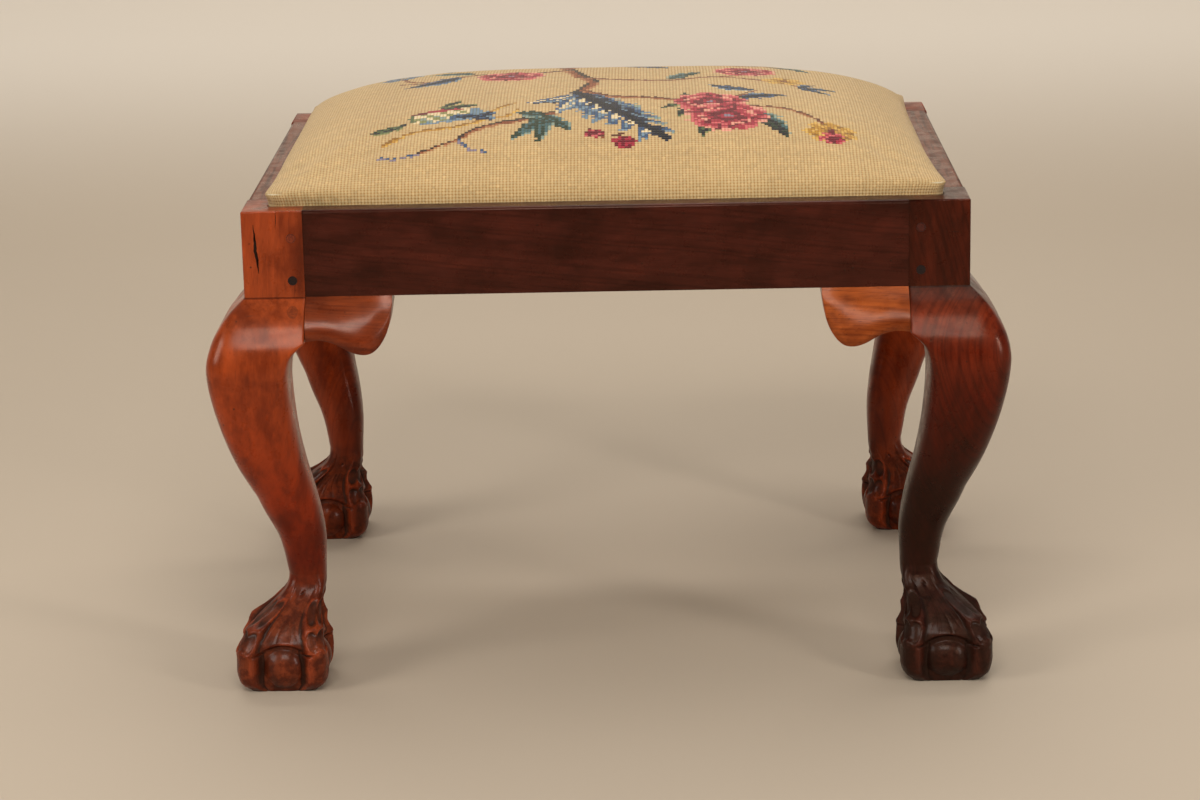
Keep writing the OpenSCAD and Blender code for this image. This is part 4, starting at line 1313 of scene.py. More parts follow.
def mahogany(name, colours, grain, layers, figure=0.5, pores=0.35, polish=0.2, carved=False, plug=None,
             knocks=0.75, unevenness=0.35, painted_top_reflection=None):
    """Mahogany finish. colours are (height in mm, colour) from low to high, grain is x, y or z,
    and layers is the direction across the tree's growth layers."""
    made, tree, shader = new_finish(name)
    place = object_place(tree)
    wandered = wandering(tree, place)
    split = add(tree, "SeparateXYZ", {0: place})
    height = split.outputs["Z"]
    share = add(tree, "MapRange", {"Value": height, "From Min": 0.0, "From Max": COLOURS_TOP * MM}).outputs[0]
    colour = ramp(tree, share, [(z / COLOURS_TOP, c) for z, c in colours])

    colour, handled, streak = wood_figure(tree, colour, place, wandered, grain, layers, figure)
    pore = noise(tree, stretched(tree, wandered, [0.8 * s for s in ALONG[grain]]), 1500.0, 1.0)
    pore = remap(tree, pore, 0.66, 0.74, 0, pores)
    colour = tint(tree, pore, colour, (0.22, 0.16, 0.15))
    dent = knocked(tree, place, handled, knocks)
    colour = mix(tree, dent, colour, (0.02, 0.007, 0.004))
    roughness = remap(tree, noise(tree, place, 75.0, 5.0, 0.65), 0.34, 0.66, 0.25, 0.42)
    fine = maths(tree, "ADD", times(tree, pore, -1.0), times(tree, streak, 0.5))
    fine = maths(tree, "SUBTRACT", fine, times(tree, dent, 3.0))
    relief = bumps(tree, fine, 0.35, 0.00012)

    if carved:
        low = remap(tree, height, 92 * MM, 70 * MM)
        colour, hollow = wax_wear_and_painted_light(tree, colour, place, split, low)
        dull = remap(tree, height, 100 * MM, 60 * MM, 0, 0.16)
        roughness = maths(tree, "ADD", maths(tree, "ADD", roughness, dull), times(tree, hollow, 0.25))
        gouge_marks = times(tree, noise(tree, place, 210.0, 2.0, 0.5), low)
        relief = bumps(tree, gouge_marks, 0.6, 0.0011, relief)
    if plug:
        colour = plugged(tree, colour, place, *plug)
    # A painted reflection on the short rails' tops: pale pinkish brown along the streaks, as the polish would
    # mirror the bright room.
    if painted_top_reflection:
        top = remap(tree, height, (rail_top - 0.6) * MM, (rail_top - 0.1) * MM)
        top_reflection = mix(tree, remap(tree, streak, 0.4, 0.65), painted_top_reflection, colours[0][1])
        colour = mix(tree, top, colour, top_reflection)
    relief = bumps(tree, noise(tree, place, 38.0, 1.0), unevenness, 0.0012, relief)
    give(tree, shader, {
        "Base Color": colour, "Roughness": roughness, "Normal": relief, "Specular IOR Level": 0.26,
        "Specular Tint": (1.0, 0.52, 0.32), "Coat Weight": polish, "Coat Roughness": 0.2,
    })
    return made


def outwards(corner, lift):
    """Unit direction out of the stool along a corner's diagonal, and upwards."""
    side_x, side_y = CORNERS[corner]
    return tuple(Vector((side_x, side_y, lift)).normalized())


# colours by height: orange-red on the left, dark red-brown on the right, and between them at the back
orange_red = [
    (0, srgb(108, 45, 22)), (60, srgb(108, 45, 21)), (95, srgb(108, 26, 5)), (150, srgb(138, 42, 9)),
    (240, srgb(150, 58, 22)), (306, srgb(148, 63, 26)), (314, srgb(146, 60, 25)), (376, srgb(144, 58, 25)),
]
deep_red = [
    (0, srgb(46, 18, 11)), (70, srgb(42, 15, 10)), (95, srgb(33, 6, 3)), (150, srgb(30, 5, 2)),
    (230, srgb(76, 14, 2)), (290, srgb(112, 38, 16)), (309, srgb(76, 29, 14)), (314, srgb(70, 21, 9)),
    (376, srgb(71, 22, 9)),
]
middle_brown = [
    (0, srgb(120, 46, 16)), (60, srgb(108, 40, 14)), (95, srgb(112, 36, 10)), (200, srgb(138, 50, 14)),
    (376, srgb(130, 50, 16)),
]
# each leg's colours, the strength of its figure and its polish
leg_woods = {
    "front_left": (orange_red, 0.14, 0.2),
    "front_right": (deep_red, 0.62, 0.12),
    "back_left": (middle_brown, 0.4, 0.2),
    "back_right": (middle_brown, 0.4, 0.2),
}
# middle of the plugged hole in the front left leg, its ring's radii and its strength
PLUG = ((-235.5, -223, 300.7), 3.1, 4.2, 0.7)
for corner, leg in legs.items():
    colours, figure, polish = leg_woods[corner]
    plug = PLUG if corner == "front_left" else None
    finish = mahogany("mahogany leg " + corner, colours, "z", outwards(corner, 0.25), figure, polish=polish,
                      carved=True, plug=plug)
    paint(leg, finish)

rail_red = [(0, srgb(60, 22, 14)), (300, srgb(56, 20, 13)), (340, srgb(66, 24, 16)), (376, srgb(60, 21, 14))]
long_rail_finish = mahogany("mahogany long rail", rail_red, "x", (0.1, 0.5, 0.85), 0.55, polish=0.12,
                            unevenness=0.12)
# The short rails' tops carry a painted reflection.
short_rail_finish = mahogany("mahogany short rail", rail_red, "y", (0.5, 0.1, 0.85), 0.55, polish=0.05,
                             unevenness=0.06, painted_top_reflection=srgb(112, 66, 50))
for node in LONG_RAILS:
    paint(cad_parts[node], long_rail_finish)
for node in SHORT_RAILS:
    paint(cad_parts[node], short_rail_finish)

block_colours = {
    "left": [(0, srgb(122, 46, 17)), (270, srgb(122, 46, 17)), (310, srgb(120, 51, 21))],
    "right": [(0, srgb(162, 78, 31)), (270, srgb(166, 81, 32)), (310, srgb(158, 76, 30))],
}
for node, block in blocks.items():
    side = "left" if "left" in node else "right"
    on_long_rail = node.endswith("long")
    grain, layers = ("x", (0.1, 0.3, 0.95)) if on_long_rail else ("y", (0.3, 0.1, 0.95))
    colours = block_colours[side] if on_long_rail or side == "left" else deep_red
    polish = 0.15 if side == "right" and on_long_rail else 0.28
    knocks = 0.25 if side == "right" else 0.75
    paint(block, mahogany("mahogany " + block.name, colours, grain, layers, 0.5, 0.6, polish, knocks=knocks))
print("mahogany finishes:", sum(made.name.startswith("mahogany ") for made in bpy.data.materials))

# %% [markdown]
# Pegs are short dowels driven across the grain, so they show dark end grain
# with a ring round each. The hidden timber is plain pine and beech, sawn and
# never polished. Tacks and screws are blued steel, dull with age.

# %% Peg wood, plain timber and steel
PEG_X, PEG_Y = 235.5, 175.5
LOW_PEG_H, PEG_STEP, PEG_SPLIT = 322.6, 32.4, 340


def peg_wood():
    """Dark end grain below; the upper pegs were coloured in with the post and only show a ring."""
    made, tree, shader = new_finish("peg end grain")
    place = object_place(tree)
    split = add(tree, "SeparateXYZ", {0: place})
    height = split.outputs["Z"]
    upper = remap(tree, height, (PEG_SPLIT - 1) * MM, (PEG_SPLIT + 1) * MM)
    level = maths(tree, "ADD", LOW_PEG_H * MM, times(tree, upper, PEG_STEP * MM))
    above = maths(tree, "SUBTRACT", height, level)
    reach = []
    for axis, middle in (("X", PEG_X), ("Y", PEG_Y)):
        aside = maths(tree, "SUBTRACT", maths(tree, "ABSOLUTE", split.outputs[axis]), middle * MM)
        square = maths(tree, "ADD", times(tree, aside, aside), times(tree, above, above))
        reach.append(maths(tree, "SQRT", square))
    rim = remap(tree, maths(tree, "MINIMUM", *reach), 2.7 * MM, 3.3 * MM)
    speckle = noise(tree, place, 1400.0, 2.0)
    fleck = remap(tree, speckle, 0.35, 0.65)
    black = mix(tree, remap(tree, speckle, 0.4, 0.65), srgb(34, 17, 13), srgb(18, 9, 7))
    red = mix(tree, fleck, srgb(128, 50, 20), srgb(92, 34, 16))
    brown = mix(tree, fleck, srgb(76, 26, 14), srgb(52, 19, 11))
    coloured = mix(tree, remap(tree, split.outputs["X"], -0.01, 0.01), red, brown)
    colour = mix(tree, upper, black, coloured)
    give(tree, shader, {
        "Base Color": mix(tree, times(tree, rim, 0.5), colour, srgb(22, 11, 8)),
        "Roughness": remap(tree, speckle, 0.3, 0.7, 0.4, 0.6),
        "Normal": bumps(tree, speckle, 0.5, 0.0002),
        "Specular IOR Level": 0.2,
        "Coat Weight": 0.12,
    })
    return made


def plain_timber(name, grain, light, dark):
    """Unpolished pale wood, still with the saw's marks."""
    made, tree, shader = new_finish(name)
    place = object_place(tree)
    growth = noise(tree, stretched(tree, place, ALONG[grain]), 130.0, 2.0, 0.6, 0.6)
    fibres = noise(tree, stretched(tree, place, ALONG[grain]), 1300.0, 2.0)
    drift = noise(tree, place, 12.0, 1.0)
    colour = mix(tree, remap(tree, growth, 0.42, 0.62), light, dark)
    colour = tint(tree, remap(tree, fibres, 0.45, 0.7, 0, 0.5), colour, (0.7, 0.62, 0.55))
    colour = tint(tree, remap(tree, drift, 0.45, 0.7, 0, 0.5), colour, (0.72, 0.66, 0.6))
    saw = add(tree, "TexWave", {"Vector": place, "Scale": 95.0, "Distortion": 3.0, "Detail": 2.0})
    height = maths(tree, "ADD", times(tree, fibres, 0.8), times(tree, saw.outputs["Fac"], 0.25))
    give(tree, shader, {
        "Base Color": colour,
        "Roughness": remap(tree, fibres, 0.3, 0.7, 0.6, 0.8),
        "Normal": bumps(tree, height, 0.4, 0.0003),
    })
    return made


def blued_steel():
    """Dull blue-black steel with a little rust."""
    made, tree, shader = new_finish("blued steel")
    rust = noise(tree, object_place(tree), 700.0, 3.0)
    give(tree, shader, {
        "Base Color": mix(tree, remap(tree, rust, 0.5, 0.68), (0.05, 0.05, 0.06), (0.11, 0.045, 0.02)),
        "Roughness": remap(tree, rust, 0.35, 0.65, 0.35, 0.7),
        "Metallic": remap(tree, rust, 0.62, 0.5, 0.0, 0.9),
        "Normal": bumps(tree, rust, 0.4, 0.0002),
    })
    return made


pine, old_pine = srgb(196, 156, 104), srgb(160, 112, 66)
timber_along = {grain: plain_timber("timber along " + grain, grain, pine, old_pine) for grain in "xyz"}
pegs_finish, steel = peg_wood(), blued_steel()
for node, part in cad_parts.items():
    if part.hide_render:
        continue
    if node.startswith("pegs"):
        paint(part, pegs_finish)
    elif "screws" in node or "tacks" in node:
        paint(part, steel)
    elif node in ("seat_frame_front", "seat_frame_back") or node.startswith("corner_block"):
        paint(part, timber_along["x"])
    elif node in ("seat_frame_left", "seat_frame_right"):
        paint(part, timber_along["y"])
    elif node == "seat_frame_dowels":
        paint(part, timber_along["z"])
print("materials so far:", len(bpy.data.materials))

# %% [markdown]
# The needlework shows a trailing flower branch in the old crewel manner: a
# rust-brown stem, feathered blue leaves, a double rose, small buds and golden
# scrolls on a camel ground. It is charted here as a stitcher would do it, but
# by rule: every stitch asks each motif in turn whether it lies inside, and the
# last motif that says yes gives it one of its wools. Places are counted in
# stitches from the middle of the seat; the viewer stands on the side of
# negative rows.

# %% Wools
WOOL = {
    "camel": srgb(200, 172, 125), "rust": srgb(139, 76, 44), "brown": srgb(92, 48, 32),
    "umber": srgb(52, 34, 30), "tan": srgb(178, 126, 84), "navy": srgb(28, 36, 58),
    "blue": srgb(58, 86, 122), "sky": srgb(112, 138, 158), "cream": srgb(226, 208, 168),
    "teal": srgb(66, 100, 104), "mist": srgb(138, 156, 144), "bottle": srgb(40, 58, 44),
    "green": srgb(84, 102, 66), "olive": srgb(136, 140, 88), "crimson": srgb(104, 14, 36),
    "rose": srgb(164, 40, 62), "pink": srgb(206, 100, 104), "blush": srgb(226, 160, 140),
    "ochre": srgb(186, 138, 52), "gold": srgb(212, 172, 88), "bronze": srgb(146, 104, 44),
    "lilac": srgb(134, 124, 142), "ink": srgb(22, 26, 36),
}
face_stitch = cover_places[np.array(cover_faces)].mean(axis=1)
chart = np.tile(np.array(WOOL["camel"]), (len(face_stitch), 1))
chart_rng = np.random.default_rng(12)
# each stitch is placed by hand, so its place wanders a little, and each column has its own length of strand
spot = face_stitch + chart_rng.normal(0, 0.45, face_stitch.shape) * 0.5
strand = chart_rng.uniform(0, 1, 400)[np.round(face_stitch[:, 0]).astype(int) % 400]
print(len(WOOL), "wools for", len(chart), "stitches")


def stitch(mask, wool):
    """Works some stitches in a wool."""
    chart[mask] = WOOL[wool]


def along_and_aside(base, tip):
    """For every stitch, the share of the way from base to tip, and how far aside of that line it lies."""
    base, tip = np.array(base, float), np.array(tip, float)
    run = tip - base
    length = np.linalg.norm(run)
    run = run / length
    return (spot - base) @ run / length, (spot - base) @ np.array([-run[1], run[0]])


def turned(way, forward, aside):
    """A direction that goes partly along a way and partly to its left."""
    return np.array([way[0] * forward - way[1] * aside, way[1] * forward + way[0] * aside])


def curve_through(points, count=160):
    """Even places along a smooth curve through a few points, with the direction at each."""
    points = np.array(points, float)
    padded = np.concatenate([[2 * points[0] - points[1]], points, [2 * points[-1] - points[-2]]])
    at = np.linspace(0, len(points) - 1 - 1e-9, count)
    i = at.astype(int)
    t = (at - i)[:, None]
    a, b, c, d = padded[i], padded[i + 1], padded[i + 2], padded[i + 3]
    places = 0.5 * (2 * b + (c - a) * t + (2 * a - 5 * b + 4 * c - d) * t**2 + (3 * b - a - 3 * c + d) * t**3)
    ahead = np.gradient(places, axis=0)
    return places, ahead / np.linalg.norm(ahead, axis=1)[:, None]


def stem(points, thick, thin, wools):
    """A stem that tapers from thick to thin. wools are its lit side, its body and its shaded edge."""
    places, ahead = curve_through(points)
    away = spot[:, None, :] - places[None, :, :]
    far = np.linalg.norm(away, axis=2)
    near = far.argmin(axis=1)
    rows = np.arange(len(spot))
    side = ahead[near, 0] * away[rows, near, 1] - ahead[near, 1] * away[rows, near, 0]
    side = np.where(ahead[near, 0] < 0, -side, side)
    half = 0.5 * (thick + (thin - thick) * near / len(places))
    inside = far[rows, near] < np.maximum(half, 0.52)
    stitch(inside, wools[1])
    stitch(inside & (side > 0.3 * half), wools[2])
    stitch(inside & (side < -0.5 * half), wools[0])


def leaf(base, tip, width, bend, wools, barbs=0, slant=0.9):
    """A leaf from base to tip. wools run from the edge to the midrib on its lit half, then the shaded
    half's two. barbs cut its edge into feathers."""
    t, w = along_and_aside(base, tip)
    w = w - bend * 4 * t * (1 - t)
    clear = np.clip(t, 0, 1)
    edge = width * np.sin(np.pi * clear**0.75) ** 0.8
    edge = edge * (0.72 + 0.45 * strand)
    if barbs:
        saw = (clear * barbs - slant * np.abs(w) / width) % 1.0
        edge = edge * (0.62 + 0.5 * saw)
    inside = (t > 0) & (t < 1) & (np.abs(w) < edge)
    share = np.abs(w) / np.maximum(edge, 0.4)
    lit, shaded = wools[:3], wools[3:]
    stitch(inside & (w >= 0), lit[1])
    stitch(inside & (w >= 0) & (share > 0.66), lit[0])
    stitch(inside & (w >= 0) & (share < 0.3), lit[2])
    stitch(inside & (w < 0), shaded[0])
    stitch(inside & (w < 0) & (share > 0.55), shaded[1])
    if barbs:
        vein = inside & ((clear * barbs - slant * np.abs(w) / width) % 1.0 < 0.2)
        stitch(vein & (share > 0.25), lit[2])
    stitch(inside & (np.abs(w) < 0.55) & (t < 0.9), wools[5] if len(wools) > 5 else lit[2])


def blossom(centre, radius, petals, turn, wools, flat=0.85):
    """An open flower. wools run from the petals' tips inwards, then the lines between them, then its eye."""
    away = (spot - np.array(centre, float)) / np.array([1, flat])
    r = np.hypot(away[:, 0], away[:, 1])
    angle = np.arctan2(away[:, 1], away[:, 0]) + turn
    lobe = np.abs(np.cos(petals * angle / 2))
    rim = radius * (0.72 + 0.28 * lobe**0.6)
    inside = r < rim
    share = r / rim
    stitch(inside, wools[1])
    stitch(inside & (share > 0.82), wools[0])
    stitch(inside & (share < 0.55), wools[2])
    stitch(inside & (lobe < 0.33) & (share > 0.3), wools[3])
    inner = np.abs(np.cos(petals * angle / 2 + 0.9))
    stitch(inside & (np.abs(share - 0.56) < 0.09) & (inner > 0.3), wools[0])
    stitch(inside & (share < 0.38) & (inner < 0.5), wools[3])
    stitch(r < 0.17 * radius, wools[4])


def barb(root, tip, width, wools):
    """One feather of a leaf: its wools run from root to tip, and it thins out into the ground."""
    t, w = along_and_aside(root, tip)
    taper = np.maximum(width * (1 - np.clip(t, 0, 1)) ** 0.5, 0.45)
    inside = (t > -0.04) & (t < 0.8 + 0.25 * strand) & (np.abs(w) < taper)
    for n, wool in enumerate(wools):
        stitch(inside & (t > n / len(wools) - 0.05), wool)


def plume(points, count, fringe, lobe, width):
    """A great feathered leaf: long dark barbs along one side, pale lobes with blue rims along the other."""
    places, ahead = curve_through(points)
    for n in range(count):
        share = (n + 0.3) / count
        at, way = places[int(share * 150)], ahead[int(share * 150)]
        swell = np.sin(np.pi * (0.18 + 0.72 * share)) ** 0.7
        up = turned(way, 0.86, 0.5)
        barb(at, at + up * fringe * swell, 1.5, ("ink", "ink", "navy", "navy", "blue", "blue", "sky", "mist"))
        beside = at + 1.5 * way
        barb(beside, beside + up * 0.8 * fringe * swell, 0.7, ("navy", "sky", "sky", "mist"))
        down = turned(way, 0.55, -0.84) * lobe * swell
        barb(at, at + down, width + 0.5, ("navy", "blue", "blue", "blue", "sky"))
        barb(at + 0.12 * down, at + 0.78 * down, 0.62 * width, ("cream", "cream", "sky", "sky"))
        if n % 2:
            barb(at, at + 0.5 * down, 0.6, ("ink", "ink", "ink", "navy"))
    far = np.linalg.norm(spot[:, None, :] - places[None, ::4, :], axis=2).min(axis=1)
    stitch(far < 1.5 + 0.5 * strand, "navy")
    stitch(far < 1.0, "ink")


def rose(centre, radius, turn, flat=0.85):
    """A double rose of two rings of petals, each dark where it tucks under the next."""
    centre = np.array(centre, float)
    away = (spot - centre) / np.array([1, flat])
    for ring, count, size in ((0.66, 8, 0.38), (0.36, 6, 0.32)):
        for n in range(count):
            angle = turn + ring * 9 + 2 * math.pi * n / count
            out = np.array([math.cos(angle), math.sin(angle)])
            from_petal = (away - out * ring * radius) / (size * radius)
            inside = np.hypot(from_petal[:, 0], from_petal[:, 1]) < 1.0 + 0.25 * (strand - 0.5)
            height = from_petal @ out + 0.35 * (from_petal[:, 1] * (1 if n % 2 else -1))
            stitch(inside, "rose")
            stitch(inside & (height > 0.42), "pink")
            stitch(inside & (height > 0.7), "blush")
            stitch(inside & (height < 0.0), "crimson")
            vein = np.abs(from_petal @ np.array([-out[1], out[0]])) < 0.14
            stitch(inside & vein & (height > 0.0), "pink" if n % 2 else "crimson")
    far = np.hypot(away[:, 0], away[:, 1])
    stitch(far < 0.2 * radius, "rose")
    stitch(far < 0.12 * radius, "lilac")


def bud(centre, long, high, turn):
    """A cream bud checked with olive, with a rose edge above and blue sepals at its right."""
    away = spot - np.array(centre, float)
    c, n = math.cos(turn), math.sin(turn)
    x = (away[:, 0] * c + away[:, 1] * n) / long
    y = (-away[:, 0] * n + away[:, 1] * c) / high
    inside = np.abs(x) ** 2.6 + np.abs(y) ** 2.6 < 1
    check = (np.floor(face_stitch[:, 0] / 2) + np.floor(face_stitch[:, 1] / 2)) % 3
    stitch(inside, "cream")
    stitch(inside & (check == 0), "olive")
    stitch(inside & (check == 1) & (y < 0), "mist")
    stitch(inside & (y > 0.62) & (x < 0.4), "rose")
    stitch(inside & (y > 0.5) & (x < -0.5), "crimson")
    stitch(inside & (x < -0.86), "green")
    stitch(inside & (y < -0.1) & (x > 0.05), "blue")
    stitch(inside & (y < -0.35) & (x > 0.2), "navy")
    stitch(inside & (y > -0.1) & (x > 0.62), "sky")
    stitch(inside & (y < -0.72), "sky")


def spray(base, tips, width, wools):
    """Narrow leaves that fan out from one place."""
    for tip in tips:
        leaf(base, tip, width, 0.6, wools)


# %% [markdown]
# Now the motifs are laid out. Stems come first, so that leaves and flowers
# cover where they start; each row gives a few places and the thickness. The
# names of the wool sets say how each looks: leaves by night and by day, pond
# and moss greens, bark and twig browns.

# %% Chart of the trailing branch
NIGHT = ("sky", "blue", "navy", "navy", "blue", "ink")
DAY = ("cream", "sky", "blue", "blue", "navy", "navy")
POND = ("mist", "teal", "teal", "teal", "bottle", "bottle")
MOSS = ("olive", "green", "bottle", "green", "bottle", "ink")
BARK = ("tan", "rust", "umber")
TWIG = ("tan", "rust", "brown")
GOLD = ("gold", "ochre", "bronze")

stem([(-6, 66), (-2, 48), (-12, 30), (-9, 10), (-4, -6), (-9, -24), (-10, -33)], 5.5, 4, BARK)
stem([(-10, -31), (-14, -41), (-24, -47), (-36, -51), (-45, -59), (-56, -65)], 3.6, 1.4, BARK)
stem([(-6, -20), (2, -27), (12, -29), (24, -33), (34, -37)], 3, 2, TWIG)
stem([(42, -38), (54, -39), (62, -45), (66, -50)], 2, 1.3, TWIG)
stem([(-9, 4), (6, -2), (20, -4), (34, 2), (48, -2), (62, -10)], 2.4, 1.2, TWIG)
stem([(34, 2), (41, 5), (44, 12)], 1.8, 1.2, TWIG)
stem([(-56, 8), (-63, 16), (-66, 28)], 1.8, 1.2, TWIG)
stem([(34, -35), (41, -28), (46, -21)], 1.6, 1.1, TWIG)
stem([(48, -2), (56, -6), (62, -12)], 1.6, 1.1, TWIG)
stem([(-12, 20), (-26, 14), (-40, 16), (-56, 8), (-66, 12)], 2.8, 1.2, BARK)
stem([(-4, 40), (12, 34), (28, 38), (46, 30), (64, 36)], 3, 1.2, BARK)
stem([(-12, 30), (-24, 42), (-42, 44), (-60, 52)], 2.8, 1.2, TWIG)
stem([(-66, -58), (-58, -52), (-48, -51), (-38, -47), (-33, -38), (-28, -33)], 2, 1.4, GOLD)
stem([(-37, -45), (-30, -44), (-26, -38)], 1.6, 1.1, GOLD)
stem([(-44, -59), (-40, -64), (-34, -66)], 1.4, 1, ("lilac", "lilac", "blue"))
stem([(-56, -65), (-62, -67), (-68, -66)], 1.4, 1, ("lilac", "lilac", "blue"))

plume([(-9, -21), (-3, -31), (5, -43), (19, -61)], 9, 17, 14, 2.3)
leaf((-8, -25), (-24, -33), 3.0, 1.2, ("navy", "sky", "cream", "cream", "blue", "blue"))
leaf((-9, -29), (-15, -43), 3.2, 0.8, ("blue", "sky", "cream", "cream", "blue", "sky"))
stem([(-5, -55), (0, -59), (5, -58)], 1.2, 1, ("rust", "brown", "brown"))
spray((-18, -44), [(-28, -60), (-20, -62), (-10, -56), (-27, -41)], 2.6, POND)
spray((26, -32), [(22, -47), (17, -40), (25, -24)], 2.3, MOSS)
leaf((43, -42), (55, -60), 4.6, 1.6, ("mist", "teal", "bottle", "bottle", "ink", "ink"), barbs=4)
leaf((40, -30), (56, -25), 3.6, 1, NIGHT, barbs=4)
leaf((34, -48), (29, -60), 3, -0.6, MOSS)
leaf((46, -20), (32, -12), 4, 1.5, DAY, barbs=4)
spray((60, -12), [(70, -18), (74, -10), (66, -4)], 2, NIGHT)
leaf((-60, -46), (-72, -50), 2.2, 0.6, MOSS)
leaf((-46, 14), (-64, 2), 5, 2.5, NIGHT, barbs=6)
leaf((-42, 18), (-58, 26), 3.6, -1.2, POND)
leaf((20, -2), (30, 12), 3.4, 1, POND)
leaf((6, 36), (20, 22), 4.6, 1.2, NIGHT, barbs=5)
leaf((28, 38), (40, 52), 4.2, -1.4, MOSS, barbs=4)
leaf((-24, 42), (-30, 60), 4.2, 1.2, DAY, barbs=5)
leaf((-44, 44), (-52, 32), 3.4, 1, POND)
leaf((52, 32), (66, 22), 3.8, 1.2, POND)
leaf((-8, 60), (-22, 70), 4, 1, MOSS, barbs=4)
leaf((0, 56), (16, 66), 4, -1, NIGHT, barbs=4)

rose((32, -34), 11, 0.4)
rose((37, -46), 12.5, 0.1)
blossom((68, -55), 8.5, 7, 0.3, ("gold", "ochre", "ochre", "bronze", "crimson"), 0.8)
blossom((68, -59), 4.2, 5, 0.6, ("pink", "rose", "crimson", "crimson", "crimson"))
blossom((-3, -57), 3.4, 5, 0.2, ("pink", "rose", "crimson", "crimson", "crimson"))
blossom((6, -62), 3.8, 5, 0.9, ("rose", "crimson", "crimson", "rose", "crimson"))
bud((-48, -41), 11.5, 5.6, 0.1)
spray((-40, -43), [(-33, -46), (-33, -41)], 2.4, ("sky", "sky", "blue", "blue", "navy", "navy"))
spray((-50, -35), [(-44, -28), (-38, -33)], 1.8, MOSS)
rose((-30, 10), 10.5, 0.2)
blossom((56, -2), 7, 6, 0.2, ("gold", "gold", "ochre", "bronze", "rust"))
rose((44, 14), 10, 0.7)
blossom((-66, 30), 7.5, 7, 0.3, ("sky", "blue", "sky", "navy", "gold"))
blossom((66, 44), 7.5, 6, 0.5, ("blush", "rose", "pink", "crimson", "ochre"))
rose((-8, 66), 10, 0.3)
blossom((-62, 54), 7, 7, 0.1, ("gold", "ochre", "gold", "bronze", "crimson"))
print("wools used:", len(np.unique(chart.round(5), axis=0)))

# %% [markdown]
# Real wool is never one colour twice. Each stitch is a little lighter or
# darker, each row drifts with its dye lot, and the edge that feet have rubbed
# is greyer. The colours are kept on the mesh, one for each stitch.

# %% Put the chart on the canvas
column, row = face_stitch.T
lot = 1 + 0.035 * np.sin(row * 0.9) * np.sin(row * 0.137 + 1) + 0.02 * np.sin(column * 0.21)
single = 1 + chart_rng.normal(0, 0.045, len(chart))
chart = np.clip(chart * (lot * single)[:, None], 0, 1)
loops_each = np.array([len(f) for f in cover_faces])
stitch_colour = cover.data.color_attributes.new("wool", "FLOAT_COLOR", "CORNER")
per_loop = np.repeat(np.concatenate([chart, np.ones((len(chart), 1))], axis=1), loops_each, axis=0)
stitch_colour.data.foreach_set("color", per_loop.astype(np.float32).ravel())


def between_yarns(tree, canvas):
    """Where the canvas shows (1): beside each slanted yarn, at its ends and at its corners."""
    cell = vector(tree, "SUBTRACT", vector(tree, "FRACTION", canvas), (0.5, 0.5, 0))
    split = add(tree, "SeparateXYZ", {0: cell})
    x, y = split.outputs["X"], split.outputs["Y"]
    slanted = maths(tree, "SUBTRACT", x, times(tree, y, 0.28))
    edge = remap(tree, maths(tree, "ABSOLUTE", slanted), 0.26, 0.5, 0, 0.55)
    to_side = maths(tree, "SUBTRACT", 0.5, maths(tree, "ABSOLUTE", x))
    to_end = maths(tree, "SUBTRACT", 0.5, maths(tree, "ABSOLUTE", y))
    end_gap = remap(tree, to_end, 0.14, 0.0, 0, 0.4)
    corner = add(tree, "CombineXYZ", {0: to_side, 1: to_end}).outputs[0]
    hole = remap(tree, vector(tree, "LENGTH", corner), 0.4, 0.1)
    return maths(tree, "MAXIMUM", hole, maths(tree, "MAXIMUM", edge, end_gap))


SOILED_CORNER = (-0.225, -0.2, 0.378)


def needlework_finish():
    """Wool yarns on canvas, a little faded, soiled at the front left corner, with painted shade between the
    yarns.
    """
    made, tree, shader = new_finish("tent stitch in wool")
    canvas = add(tree, "UVMap", uv_map="canvas").outputs["UV"]
    yarn = maths(tree, "SUBTRACT", 1.0, between_yarns(tree, canvas))
    wool = add(tree, "VertexColor", layer_name="wool").outputs["Color"]
    place = object_place(tree)
    fluff = noise(tree, place, 2600.0, 2.0)
    faded = noise(tree, place, 9.0, 2.0)
    colour = tint(tree, remap(tree, faded, 0.4, 0.7, 0, 0.14), wool, (0.8, 0.74, 0.66))
    colour = tint(tree, remap(tree, fluff, 0.35, 0.7, 0, 0.22), colour, (1.25, 1.2, 1.12))
    from_corner = distance_from(tree, place, SOILED_CORNER, (0.4, 1.0, 1.6))
    patchy = remap(tree, noise(tree, place, 160.0, 3.0), 0.35, 0.6, 0.3, 1)
    soiled = times(tree, remap(tree, from_corner, 0.022, 0.004, 0, 0.5), patchy)
    colour = mix(tree, soiled, colour, srgb(112, 98, 62))
    # Between the yarns the canvas shows, coloured as the wool darkened and warmed: painted shade.
    gap = mix(tree, 1.0, colour, (0.72, 0.52, 0.3), "MULTIPLY")
    fine = maths(tree, "ADD", yarn, times(tree, fluff, 0.35))
    give(tree, shader, {
        "Base Color": mix(tree, yarn, gap, colour), "Normal": bumps(tree, fine, 0.75, 0.0007),
        "Roughness": 0.9, "Specular IOR Level": 0.15,
        "Sheen Weight": 0.25, "Sheen Roughness": 0.5, "Sheen Tint": (1.0, 0.9, 0.75),
    })
    return made


paint(cover, needlework_finish())
print("wool kept at", len(per_loop), "corners of stitches")

# %% [markdown]
# Under the needlework the seat is built as upholsterers built it before foam.
# Jute webbing is stretched over the frame, each strap over one and under the
# next. Hessian lies on it, then curled hair, and calico holds the hair down.
# The webbing is woven here as seven straps of its own. Each strap's height is
# read along its length: it rises over every second strap that it crosses.

# %% Webbing
STRAP_W, STRAP_T = 50, 1.2
LONG_HALF, CROSS_HALF = 240.8, 180.8
LONG_Y = (-82.9, 0.0, 82.9)
CROSS_X = (-135.5, -45.2, 45.2, 135.5)
